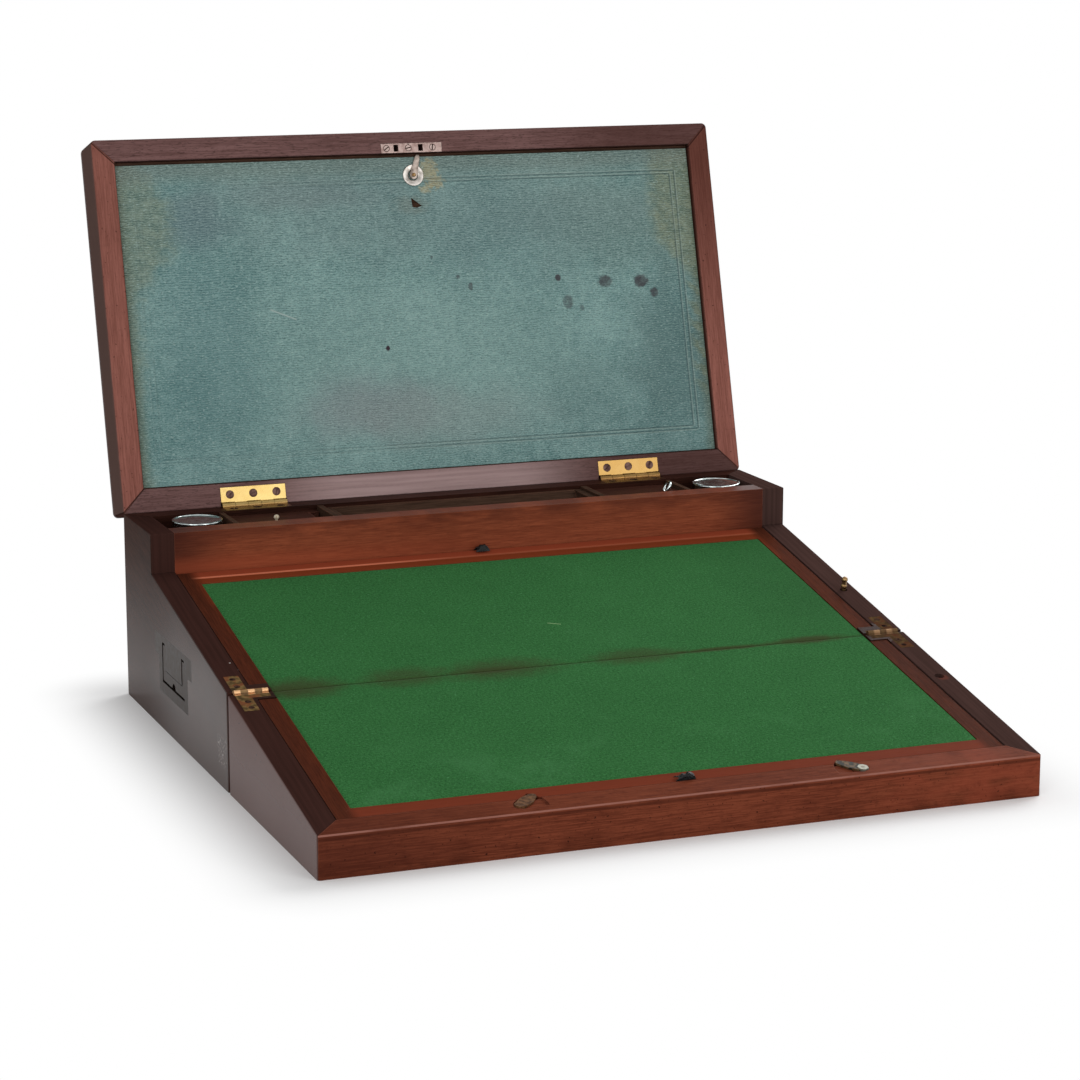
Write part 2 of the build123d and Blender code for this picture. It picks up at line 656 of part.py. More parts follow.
# ---- front case ---------------------------------------------------------------------------
front_outline = profile([(front_face, 0), (front_y, 0), (front_y, front_height),
                         (front_face, rim_height(front_face))], (-half, half))
front_block = soften(front_outline & upright_corners(front_y, front_face, corner_round), 0)
front_left, front_right = [minus(side, rim_recess + front_rim_holes) for side in reversed(
    both_sides(front_block & mitred_side(front_y, board, front_face, fold_wall)))]
keep("front_left_side", front_left)
keep("front_right_side", front_right - pin_head_room)
keep("front_rail", minus(front_block & mitred_end(front_y, board), catch_rooms))
front_bottom_y = (front_y + board, front_face - fold_wall)

front_ledge_end = -(front_run - board) / slope_cos
nose_run = (front_ledge_end + 2, front_ledge_end + 2 + ledge_wide)
keep("front_flap_ledges",
     *[slope * box(x, (front_ledge_end, -wall_run - ledge_gap), ledge)
       for x in (ledge_x, mirrored(ledge_x))],
     slope * box(cross_ledge_x, nose_run, ledge))

# The lock's face plate meets the link plate when the front case is folded over.
lock_low = 2 * fold_y - lid_axis_y + panel_top
lock_y = (lock_low, lock_low + link_plate_wide)
lock_middle = sum(lock_y) / 2
lock_x = (link_plate_x[0] - 1.0, link_plate_x[1] + 1.0)
lock_body_x = (-20.0, 17.0)
lock_tall = 32.0
face_thick = 2.0
bolt_wide = 2.2
bolt_deep = 3.4
bar_tall = 4.0
bar_low = face_thick + bolt_throw + 2.0
key_height = 21.0
key_x = sum(lock_bolts_x) / 2
key_post = 1.0
keyhole = 2.3
escutcheon = 3.4
escutcheon_deep = 4.0
bar_span = (lock_bolts_x[0] - bolt_wide / 2, lock_bolts_x[1] + bolt_wide / 2)
bolt_y = (lock_middle - bolt_deep / 2, lock_middle + bolt_deep / 2)
bar_room = box((bar_span[0] - clear, bar_span[1] + clear), (bolt_y[0] - clear, bolt_y[1] + clear),
               (-1, bar_low + bar_tall + 1))
bridge_x = (lock_bolts_x[0] + bolt_wide / 2 + clear, lock_bolts_x[1] - bolt_wide / 2 - clear)
lock_plate = box(lock_x, lock_y, (0, face_thick))
lock_shell = lock_plate + box(lock_body_x, lock_y, (face_thick, lock_tall)) - bar_room
lock_shell = lock_shell + box(bridge_x, lock_y, (0, face_thick))
lock_shell = lock_shell + rod_y(key_x, (lock_y[1], front_face - 3.0), key_height, key_post)
keyway = rod_y(key_x, (lock_y[1] - 1, front_face + 1), key_height, keyhole)
ring_seat = rod_y(key_x, (front_face - escutcheon_deep, front_face), key_height, escutcheon)
keep("box_lock", lock_shell, ring_seat - keyway)
lock_room = [lock_plate, box(lock_body_x, lock_y, (0, lock_tall)), keyway, ring_seat]
keep("front_fold_wall", minus(front_block & mitred_end(front_face, -fold_wall),
                              [*flap_room, *rim_recess, *front_rim_holes, *lock_room]))
keep("front_bottom_board",
     minus(box((-inner, inner), front_bottom_y, (0, front_floor)), lock_room[:2]))
bolt = box(bar_span, bolt_y, (bar_low, bar_low + bar_tall))
for x in lock_bolts_x:
    bolt = bolt + box((x - bolt_wide / 2, x + bolt_wide / 2), bolt_y, (clear, bar_low))
keep("lock_bolt", bolt)

# ---- writing flaps ------------------------------------------------------------------------
core = (-flap_floor, -flap_sink - banding)
banding_z = (-flap_sink - banding, -flap_sink)
felt = (-flap_sink - banding, baize - flap_sink - banding)
felt_gap = 0.2              # baize to the border
flap_near = 0.25            # flap to the fold line
block_gap = 0.4             # round the blocks beside the rims


def flap(name, sign, end, border):
    """One writing flap, running sign * end from the fold: core board, mitred border and baize."""
    felt_end = sign * (end - border)
    start = sign * (block_run + block_gap)
    board_run = sorted((sign * flap_near, sign * end))
    base = box((-flap_edge, flap_edge), board_run, core)
    notch = box((block_x, half), sorted((0, start)), (-spill, spill))
    side_strip = prism([(baize_x, start), (flap_edge, start), (flap_edge, sign * end),
                        (baize_x, felt_end)], banding_z)
    end_strip = prism([(-baize_x, felt_end), (baize_x, felt_end), (flap_edge, sign * end),
                       (-flap_edge, sign * end)], banding_z)
    cloth = box((felt_gap - baize_x, baize_x - felt_gap), sorted((sign * flap_near, felt_end)), felt)
    cuts = flap_notches if sign < 0 else []
    keep(name + "_flap_board", minus(slope * minus(base, both_sides(notch)), cuts))
    keep(name + "_flap_border",
         *[minus(slope * strip, cuts) for strip in (*both_sides(side_strip), end_strip)])
    keep(name + "_baize", slope * cloth)


flap("upper", 1, upper_end, band_back)
flap("lower", -1, lower_end, lower_band)
tab_z = (-flap_sink, -0.1)
upper_tab = {"x": (-5.0, 7.0), "run": (upper_end - 6, upper_end)}
lower_tab = {"x": (-5.0, 8.0), "run": (-lower_end, 5 - lower_end)}
keep("upper_pull_tab", slope * box(*upper_tab.values(), tab_z))
keep("lower_pull_tab", slope * box(*lower_tab.values(), tab_z))

# ---- lid ----------------------------------------------------------------------------------
lid_run = (-hinge_inset, lid_reach)
skin = (-lid_thickness, lid_top - lid_thickness)
ring_z = (lid_top - lid_thickness, 0)
lid_middle = (lid_run[0] + lid_run[1]) / 2
lid_plan = Pos(0, lid_middle) * RectangleRounded(width, lid_run[1] - lid_run[0], lid_corner)
lid_slab = Pos(0, 0, -lid_thickness) * extrude(lid_plan, lid_thickness)
lid_slab = fillet(lid_slab.edges().group_by(Axis.Z)[0], top_round)
lid_slab = fillet(lid_slab.edges().group_by(Axis.Z)[-1], edge_round)
lid_slab = lid_slab - Pos(0, 0, -closing_gap / 2) * lid_stop
opening_x = half - lid_stile
rebate_z = -panel_sink - panel_board
opening = box((-opening_x, opening_x), (lid_rear_rail, panel_top), (-lid_thickness, 1))
rebate = box((lid_rebate - opening_x, opening_x - lid_rebate),
             (lid_rear_rail + lid_rebate, panel_top - lid_rebate), (-lid_thickness, 1))
frame_ring = (lid_slab & box((-half, half), lid_run, ring_z)) - rebate
frame_ring = frame_ring - (opening & box((-half, half), lid_run, (rebate_z, 1)))
rear_corner = (half, lid_run[0])
front_corner = (half, lid_run[1])
rear_inner = (opening_x - lid_rebate, lid_rear_rail + lid_rebate)
front_inner = (opening_x - lid_rebate, panel_top - lid_rebate)
stile_plan = prism([rear_corner, front_corner, front_inner, rear_inner], ring_z)
front_plan = prism([(-front_corner[0], front_corner[1]), front_corner, front_inner,
                    (-front_inner[0], front_inner[1])], ring_z)
rear_plan = prism([(-rear_corner[0], rear_corner[1]), rear_corner, rear_inner,
                   (-rear_inner[0], rear_inner[1])], ring_z)
link_bed = lid * box(link_plate_x, (panel_top, panel_top + link_plate_wide), (-leaf_thick, 1))
mortise = (1.7, 1.0, 8.0)   # half width, margin in the plate and depth
mortise_run = (panel_top + mortise[1], panel_top + link_plate_wide - mortise[1])
link_mortise = [lid * box((x - mortise[0], x + mortise[0]), mortise_run, (-mortise[2], 1))
                for x in lock_bolts_x]
link_screws_x = (-18.0, -1.8, 16.1)
link_screw = (2.4, 7.0)
link_spots = [lid * Pos(x, panel_top + link_plate_wide / 2, 0) for x in link_screws_x]
link_holes = [spot * screw_hole(*link_screw) for spot in link_spots]
stile = lid * (frame_ring & stile_plan)
keep("lid_stiles", *both_sides(stile))
keep("lid_rails",
     minus(lid * (frame_ring & front_plan), [link_bed, *link_mortise, *link_holes]),
     minus(lid * (frame_ring & rear_plan), [*leaf_recesses(on_lid), *lid_barrel_room]))
keep("lid_top_board", lid * (lid_slab & box((-half, half), lid_run, skin)))
keep("lid_link_plate", minus(link_bed & (lid * box((-half, half), lid_run, (-spill, 0))),
                             [*link_mortise, *link_holes]))
link_screws = [spot * screw(*link_screw, tilt) for spot, tilt in zip(link_spots, (35, 12, 80))]
keep("lid_screws", *link_screws,
     *[s for place, span in on_lid for s in leaf_screws(place, span, True)])

# ---- leather-covered panel ----------------------------------------------------------------
rose_x = 0.9
rose_run = 223.9
rose_outer = 7.6
rose_inner = 3.6
tongue_reach = 15.0
tongue_lean = -17.0         # off the straight-up, towards the right
tongue_heel = 3.0
tongue_tip = 1.9
tongue_thick = 1.3
rose_thick = 1.2
stem = 1.5
panel_gap = 0.4
hide_gap = 0.5
bare_top = 2.2              # strip of bare panel above the leather
panel_x = opening_x - panel_gap
panel_run = (lid_rear_rail + panel_gap, panel_top - panel_gap)
leather_run = (panel_run[0] + hide_gap, panel_run[1] - bare_top)
stem_hole = Pos(rose_x, rose_run, 0) * post(0, 0, (-spill, spill), stem + pin_clearance)
panel = box((-panel_x, panel_x), panel_run, (rebate_z + 0.2, -panel_sink))
hide = box((hide_gap - panel_x, panel_x - hide_gap), leather_run, (-panel_sink, leather - panel_sink))
rose = post(0, 0, (leather - panel_sink, leather - panel_sink + rose_thick), rose_outer)
rose = rose - post(0, 0, (-spill, spill), rose_inner)
tongue_low = leather - panel_sink + rose_thick + 0.2
keep("panel_board", lid * (panel - stem_hole))
keep("panel_leather", lid * (hide - stem_hole))
keep("catch_rose", lid * Pos(rose_x, rose_run, 0) * rose)
tongue_plan = make_hull([Edge.make_circle(tongue_heel),
                         Pos(0, tongue_reach - tongue_tip) * Edge.make_circle(tongue_tip)])
tongue = Pos(0, 0, tongue_low) * extrude(make_face(tongue_plan), tongue_thick)
tongue = tongue + post(0, 0, (rebate_z + 0.4, tongue_low), stem)
keep("panel_catch", lid * Pos(rose_x, rose_run, 0) * Rot(0, 0, tongue_lean) * tongue)

os.makedirs("parts", exist_ok=True)
for name, solid in nodes.items():
    export_step(solid, "parts/" + name + ".step")
print(len(nodes), "nodes")
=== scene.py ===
"""Looks of the writing slope: finishes, worn leather and baize, fittings, light and camera."""
import json
from math import cos, pi, radians, sin

import bpy
import bmesh
from mathutils import Matrix, Vector, noise


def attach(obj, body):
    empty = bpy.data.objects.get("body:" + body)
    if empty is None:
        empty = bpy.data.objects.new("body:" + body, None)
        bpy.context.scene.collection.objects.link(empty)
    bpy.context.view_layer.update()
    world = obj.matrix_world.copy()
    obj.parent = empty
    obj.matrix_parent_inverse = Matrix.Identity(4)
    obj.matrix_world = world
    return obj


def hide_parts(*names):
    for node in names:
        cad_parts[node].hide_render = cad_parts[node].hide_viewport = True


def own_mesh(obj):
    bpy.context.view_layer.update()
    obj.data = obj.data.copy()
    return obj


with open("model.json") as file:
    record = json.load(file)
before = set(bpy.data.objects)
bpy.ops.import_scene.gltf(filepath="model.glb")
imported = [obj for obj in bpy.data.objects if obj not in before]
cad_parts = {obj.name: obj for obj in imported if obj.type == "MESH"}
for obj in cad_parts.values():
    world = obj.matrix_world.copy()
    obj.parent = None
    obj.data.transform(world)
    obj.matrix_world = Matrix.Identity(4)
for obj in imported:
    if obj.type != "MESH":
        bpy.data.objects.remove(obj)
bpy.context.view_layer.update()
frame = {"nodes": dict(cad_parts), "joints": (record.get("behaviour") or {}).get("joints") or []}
bpy.ops.object.select_all(action="DESELECT")

mm = 0.001
joints = {joint["name"]: joint for joint in frame["joints"]}

# ---- places read from the frame -----------------------------------------------------------
hinge_lift = 0.3 * mm       # fold axis above the rims
lid_gap = 0.15 * mm         # lid axis to the lid's inner face
lower_mitre = 228.8 * mm    # |x| and run together along the lid's lower mitres
upper_mitre = 24.9 * mm     # run less |x| along its upper mitres
link_screw_run = 242.95     # the link plate's screws, in mm up the lid
case_half = 228.5 * mm      # half the width of the cases and of the lid
border_inner = 200.0 * mm   # |x| of the flap borders' inner edges
x_axis = Vector((1, 0, 0))


def placed(origin, out):
    """Frame whose X is the row's X and whose Z points along out."""
    out = Vector(out).normalized()
    up = out.cross(x_axis)
    turn = Matrix((x_axis, up, out)).transposed()
    return Matrix.Translation(origin) @ turn.to_4x4()


upright = Matrix.Identity(4)
slope_out = Vector(joints["left_flap_catch_turn"]["axis"])
front_arris = -185.1 * mm   # the slope's foremost edge, from the fold
slope = placed(Vector(joints["slope_fold"]["pos_m"]) - Vector((0, 0, hinge_lift)), slope_out)
lid_out = Vector(joints["panel_catch_turn"]["axis"])
lid = placed(Vector(joints["lid_hinge"]["pos_m"]) + lid_gap * lid_out, lid_out)


# ---- shader maths -------------------------------------------------------------------------
class Wire:
    """A shader value that ordinary arithmetic works on."""

    def __init__(self, recipe, socket):
        self.recipe = recipe
        self.socket = socket

    def math(self, operation, *others):
        """One Math node on this value and the others."""
        sockets = dict(enumerate((self, *others)))
        return self.recipe.node("Math", {"operation": operation}, sockets)

    def __add__(self, other):
        return self.math("ADD", other)

    def __sub__(self, other):
        return self.math("SUBTRACT", other)

    def __mul__(self, other):
        return self.math("MULTIPLY", other)

    def __rsub__(self, other):
        return self.recipe.node("Math", {"operation": "SUBTRACT"}, {0: other, 1: self})

    def __truediv__(self, other):
        return self.math("DIVIDE", other)

    def __pow__(self, other):
        return self.math("POWER", other)

    def __abs__(self):
        return self.math("ABSOLUTE")

    __radd__ = __add__
    __rmul__ = __mul__

    def step(self, low, high):
        """0 below low, 1 above high and smooth between; low may be the larger."""
        settings = {"interpolation_type": "SMOOTHSTEP"}
        ends = {"Value": self, "From Min": low, "From Max": high, "To Min": 0.0, "To Max": 1.0}
        return self.recipe.node("MapRange", settings, ends)

    def near(self, centre, reach, soft):
        """1 within reach of a centre, fading to 0 over soft."""
        return abs(self - centre).step(reach + soft, reach)

    def within(self, low, high, soft):
        """1 between two ends, fading to 0 over soft outside them."""
        return self.step(low - soft, low) * self.step(high + soft, high)


class Recipe:
    """A finish being made: its nodes, its coordinates, its colour so far and its shader."""

    def __init__(self, name, place=upright):
        self.finish = bpy.data.materials.new(name)
        self.finish.use_nodes = True
        self.tree = self.finish.node_tree
        self.shader = self.tree.nodes["Principled BSDF"]
        self.point = self.node("TexCoord", {}, {}, "Object")
        self.x, self.u, self.w = self.along(place)
        self.colour = (1.0, 1.0, 1.0)

    def node(self, kind, settings, sockets, output=0):
        """Add a node: settings first, then its sockets' values or links; returns one output."""
        made = self.tree.nodes.new("ShaderNode" + kind)
        for name, value in settings.items():
            setattr(made, name, value)
        for name, value in sockets.items():
            self.feed(made.inputs[name], value)
        return Wire(self, made.outputs[output])

    def feed(self, socket, value):
        """Link a wire to a socket, or set the socket's own value."""
        if isinstance(value, Wire):
            self.tree.links.new(value.socket, socket)
        elif socket.type == "RGBA":
            socket.default_value = (*value, 1.0)
        else:
            socket.default_value = value

    def along(self, place):
        """Coordinates of the shaded point in a place's own frame."""
        origin = tuple(place.translation)
        offset = self.node("VectorMath", {"operation": "SUBTRACT"}, {0: self.point, 1: origin})
        return [self.dot(offset, tuple(axis)) for axis in place.to_3x3().col]

    def dot(self, first, second):
        """Dot product of two vectors."""
        sockets = {0: first, 1: second}
        return self.node("VectorMath", {"operation": "DOT_PRODUCT"}, sockets, "Value")

    def noise(self, x, y, z=0.0, detail=3.0, rough=0.5, twist=0.0):
        """Fractal noise about 0.5 at coordinates that already hold their scale."""
        point = self.node("CombineXYZ", {}, {0: x, 1: y, 2: z})
        sockets = {"Vector": point, "Scale": 1.0, "Detail": detail, "Roughness": rough,
                   "Distortion": twist}
        return self.node("TexNoise", {}, sockets, "Fac")

    def mottle(self, scale, detail=3.0, rough=0.5):
        """Noise of one scale in every direction."""
        return self.noise(self.x * scale, self.u * scale, self.w * scale, detail, rough)

    def mix(self, mask, first, second, blend="MIX"):
        """Mix two colours."""
        settings = {"data_type": "RGBA", "blend_type": blend, "clamp_factor": True}
        return self.node("Mix", settings, {0: mask, 6: first, 7: second}, 2)

    def wash(self, mask, tint, blend="MIX"):
        """Lay a tint over the colour so far."""
        self.colour = self.mix(mask, self.colour, tint, blend)

    def blot(self, x, u, reach_x, reach_u, ragged, soft, scale=300.0):
        """An uneven blot about a point of the place's frame, its place and reach in mm."""
        far_x = (self.x - x * mm) / (reach_x * mm)
        far_u = (self.u - u * mm) / (reach_u * mm)
        far = (far_x * far_x + far_u * far_u) ** 0.5
        far = far + (self.noise(self.x * scale, self.u * scale) - 0.5) * (2 * ragged)
        return far.step(1 + soft, 1 - soft)

    def stroke(self, start, end, reach, soft):
        """A straight line between two points of the place's frame, all in mm."""
        start = Vector(start) * mm
        run = Vector(end) * mm - start
        half = run.length / 2
        run.normalize()
        away_x = self.x - start.x
        away_u = self.u - start.y
        along = away_x * run.x + away_u * run.y
        across = abs(away_x * run.y - away_u * run.x)
        inside = abs(along - half).step(half + soft * mm, half - soft * mm)
        return across.step((reach + soft) * mm, reach * mm) * inside

    def rounding(self, radius):
        """The surface's normal, eased round its arrises."""
        return self.node("Bevel", {"samples": 4}, {"Radius": radius})

    def arris(self, radius):
        """1 on the arrises of a piece, 0 on its flats."""
        flat = self.node("NewGeometry", {}, {}, "True Normal")
        return self.dot(self.rounding(radius), flat).step(0.99, 0.9)

    def finished(self, roughness, height=None, bump=0.2, rounded=None, **sockets):
        """Feed the shader and return the finish."""
        self.feed(self.shader.inputs["Base Color"], self.colour)
        self.feed(self.shader.inputs["Roughness"], roughness)
        for name, value in sockets.items():
            self.feed(self.shader.inputs[name.replace("_", " ")], value)
        if height is not None:
            bumps = {"Strength": bump, "Distance": mm, "Height": height}
            if rounded:
                bumps["Normal"] = self.rounding(rounded)
            self.feed(self.shader.inputs["Normal"], self.node("Bump", {}, bumps))
        return self.finish


# ---- mahogany -----------------------------------------------------------------------------
def mahogany(name, place, grain, deep, pale, dirt=0.3, roughness=0.34, worn=(0.30, 0.12, 0.08),
             arris_light_and_wear=0.35, marks=None, coat=0.0, specular=0.02):
    """Old polished mahogany; grain says which way of the place's frame it runs."""
    r = Recipe(name, place)
    run, side = (r.x, r.u) if grain == "x" else (r.u, r.x)
    if grain == "around":
        level = abs(r.x).step(border_inner + 0.2 * mm, border_inner - 0.2 * mm)
        run = r.u + (r.x - r.u) * level
        side = r.x + (r.u - r.x) * level
    dark = tuple(part * 0.4 for part in deep)
    # from the broadest to the finest, all drawn out along the grain
    figure = r.noise(run * 5, side * 40, r.w * 40, detail=4, twist=0.6)
    streak = r.noise(run * 12, side * 330, r.w * 330)
    fibre = r.noise(run * 60, side * 1500, r.w * 1500, detail=2)
    pore = r.noise(run * 260, side * 2600, r.w * 2600, detail=1).step(0.60, 0.72)
    patch = r.mottle(18, detail=5, rough=0.6)
    tone = (figure - 0.5) * 0.5 + (streak - 0.5) * 0.5 + (fibre - 0.5) * 1.2 + 0.5
    r.colour = r.mix(tone.step(0.15, 0.85), deep, pale)
    r.wash(pore * 0.35, dark)
    r.wash(patch.step(0.50, 0.78) * dirt, dark)
    gloss = 1.0
    if marks:
        gloss = marks(r)    # lays its washes and says how much of the coat is left
    # painted light along the arrises: a highlight, partly worn wood, where the laid colour is
    # pale, and a dark line where it is dark
    if arris_light_and_wear:
        painted_arris_mask = r.arris(0.9 * mm) * r.mottle(70).step(0.28, 0.5)
        r.wash(painted_arris_mask * arris_light_and_wear, worn)
    rough = roughness + (patch - 0.5) * 0.2 + pore * 0.15
    height = streak * 0.2 - pore * 0.3 + patch * 0.3
    return r.finished(rough, height, bump=0.08, rounded=0.5 * mm,
                      Coat_Weight=gloss * coat, Coat_Roughness=0.25, Specular_IOR_Level=specular)


def side_marks(r):
    """Dark red rims; outer faces specked, their polish dullest at the top and the front redder.

    Pale chips low down behind the split, two nicks in the left rim, and in the right rim's pin
    hole a reddish blot, partly the bare wood of its wall and partly painted light in the hole.
    """
    rims = r.noise(r.u * 14, r.x * 420).step(0.2, 0.8)
    left = r.mix(rims, (0.034, 0.015, 0.012), (0.050, 0.021, 0.017))
    right = r.mix(rims, (0.048, 0.026, 0.022), (0.070, 0.037, 0.032))
    rim = r.mix(r.x.step(-0.1, 0.1), left, right)
    outer = abs(r.x).step(case_half - 0.7 * mm, case_half - 0.2 * mm)
    _, run, lift = r.along(upright)
    front = (run - slope.translation.y).step(1.0 * mm, 0.0)
    r.wash(front * 0.8, (0.112, 0.048, 0.040))
    cloud = r.mottle(9, detail=4)
    gloss = lift.step(130 * mm, 5 * mm) * 1.25 + cloud.step(0.3, 0.7) * 0.12 + 0.18
    gloss = gloss * (r.u.step(200 * mm, 80 * mm) * 0.45 + 0.55)
    gloss = gloss * (1 - front * lift.step(0, 70 * mm) * 0.4)
    speck = r.noise(r.u * 420, r.w * 420, detail=2).step(0.67, 0.74)
    r.wash(speck * 0.8, (0.006, 0.004, 0.004))
    chips = r.noise(run * 700, lift * 700, 3.0, detail=1).step(0.61, 0.66)
    chips = chips * run.within(-123 * mm, -105 * mm, 3 * mm)
    chips = chips * lift.within(15 * mm, 30 * mm, 3 * mm)
    r.wash(chips, (0.42, 0.38, 0.36))
    r.colour = r.mix(outer, rim, r.colour)
    # reddish blot round the pin hole: the bare wood of its wall, lightened with painted light
    # where the hole would render dark
    pin_hole_wall_and_light = r.blot(220.8, -71.6, 3.6, 3.6, ragged=0.2, soft=0.3)
    r.wash(pin_hole_wall_and_light * 0.5, (0.16, 0.045, 0.030))
    for start, end in (((-212.6, 32.0), (-208.4, 32.4)), ((-215.4, 42.9), (-214.6, 42.4))):
        r.wash(r.stroke(start, end, 0.35, 0.3) * 0.9, (0.55, 0.50, 0.46))
    return gloss * outer


def front_marks(r):
    """Soiled and specked below, darker at the left, redder at the right; a painted highlight along
    its top arris and a painted shade line just under it.
    """
    left = r.x.step(-110 * mm, -215 * mm)
    r.wash(left * 0.45, (0.045, 0.012, 0.008))
    right = r.x.step(80 * mm, 190 * mm) * r.noise(r.x * 30, r.w * 90, detail=4).step(0.35, 0.6)
    r.wash(right * 0.45, (0.27, 0.058, 0.030))
    low = r.w.step(-10 * mm, -40 * mm) * r.noise(r.x * 60, r.w * 60, detail=5).step(0.45, 0.7)
    r.wash(low * 0.7, (0.030, 0.009, 0.006))
    speck = r.noise(r.x * 500, r.w * 500, detail=2).step(0.66, 0.74)
    r.wash(speck * 0.8, (0.012, 0.006, 0.005))
    mottle = r.noise(r.x * 160, r.u * 160, r.w * 260, detail=4, rough=0.7)
    r.wash(mottle.step(0.5, 0.72) * 0.35, (0.060, 0.014, 0.008))
    from_arris = abs(r.u - front_arris)
    # painted highlight along the top front arris, uneven along its length
    painted_arris_highlight = from_arris.step(0.9 * mm, 0.5 * mm) * r.w.step(-1.0 * mm, -0.5 * mm)
    worn = r.noise(r.x * 25, 0.0, 1.0, detail=4).step(0.25, 0.55) * 0.5 + 0.3
    r.wash(painted_arris_highlight * worn, (0.34, 0.15, 0.115))
    # painted shade: a dark line on the front face just under the top arris
    painted_shade_under_arris = r.w.within(-3.2 * mm, -2.0 * mm, 0.5 * mm) * from_arris.step(4 * mm, 2 * mm)
    r.wash(painted_shade_under_arris * 0.5, (0.040, 0.010, 0.006))
    return 1.0


def fascia_marks(r):
    """Dark ends and top edge; painted light below, brightest towards the left."""
    ends = abs(r.x).step(165 * mm, 215 * mm)
    r.wash(ends * 0.8, (0.040, 0.010, 0.007))
    height = r.w / mm
    high = height.step(112, 124) * r.noise(r.x * 40, r.w * 120).step(0.3, 0.6)
    r.wash(high * 0.5, (0.050, 0.012, 0.008))
    # painted light on the lower strip, which the render leaves in shade
    glow = height.step(112, 101) * r.x.step(60 * mm, -180 * mm)
    r.wash(glow * 0.5, (0.34, 0.070, 0.030))
    return 1.0


def lid_edges(r):
    """The lid's edges, darker deeper below its face, its greyed ends and the dark lines of its
    mitres.
    """
    deep = r.w.step(-0.8 * mm, -2.6 * mm)
    r.wash(deep * 0.8, (0.040, 0.017, 0.012))
    outer = abs(r.x).step(case_half - 0.9 * mm, case_half - 0.2 * mm)
    r.wash(outer * 0.85, (0.105, 0.068, 0.059))
    lower = abs(abs(r.x) + r.u - lower_mitre)
    upper = abs(abs(r.x) - r.u + upper_mitre)
    mitre = lower.math("MINIMUM", upper).step(0.9 * mm, 0.3 * mm)
    r.wash(mitre * 0.8, (0.015, 0.008, 0.007))


def rail_marks(r):
    """Greyed polish with dark pores, a painted pink glare midway along the lower rail, darker at
    right.
    """
    pore = r.noise(r.x * 300, r.u * 1500, r.w * 1500, detail=2)
    r.wash(pore.step(0.54, 0.68) * 0.45, (0.026, 0.013, 0.011))
    lower = (r.u / mm).step(25, 10)
    # painted glare: a pink reflection painted midway along the lower rail, which also gets more
    # coat
    painted_glare = r.x.within(-70 * mm, 50 * mm, 75 * mm) * lower
    streak = r.noise(r.x * 10, r.u * 260, 2.0).step(0.25, 0.75)
    r.wash(painted_glare * (streak * 0.4 + 0.45), (0.46, 0.31, 0.30))
    right = r.x.step(70 * mm, 170 * mm)
    r.wash(right * 0.6, (0.060, 0.022, 0.017))
    inward = abs(r.x).step(case_half - 0.5 * mm, case_half - 1.5 * mm)
    inward = inward * r.w.step(-2.6 * mm, -0.8 * mm)
    lid_edges(r)
    return (painted_glare * 0.6 + 0.15) * inward


def stile_marks(r):
    """Darker at the top, most at the right, and specked with black."""
    high = (r.u / mm).step(60, 245) * (r.x.step(-0.1, 0.1) * 0.6 + 0.12)
    r.wash(high, (0.060, 0.018, 0.012))
    speck = r.noise(r.x * 420, r.u * 420, detail=2).step(0.66, 0.74)
    r.wash(speck * 0.7, (0.03, 0.012, 0.010))
    lid_edges(r)
    return 1.0


def border_marks(r):
    """Flap borders: redder along the back and front, browner at the sides.

    The back strip is redder, partly its own colour and partly painted light against the fascia's
    shade; a painted highlight line runs along the flap's back arris, strongest at the left, and
    the strip behind it is redder still.
    """
    run = r.u / mm
    inner = abs(r.x).step(206 * mm, 196 * mm)
    # the back strip redder, and redder still behind the highlight line: partly its own colour,
    # partly painted light against the fascia's shade
    r.wash(run.step(125, 135) * inner * 0.8, (0.205, 0.040, 0.014))
    r.wash(run.step(174.6, 175.4) * inner * 0.7, (0.320, 0.063, 0.030))
    # painted highlight line along the flap's back arris, strongest at the left
    worn = r.x.step(-10 * mm, -80 * mm) * 0.6 + 0.25
    painted_back_arris_highlight = run.near(174.5, 0.9, 0.7) * inner * worn
    r.wash(painted_back_arris_highlight, (0.66, 0.20, 0.11))
    r.wash(run.step(-150, -160) * inner * 0.6, (0.230, 0.045, 0.022))
    aside = abs(r.x).step(196 * mm, 206 * mm)
    r.wash(aside * 0.3, (0.052, 0.019, 0.013))
    return 1.0


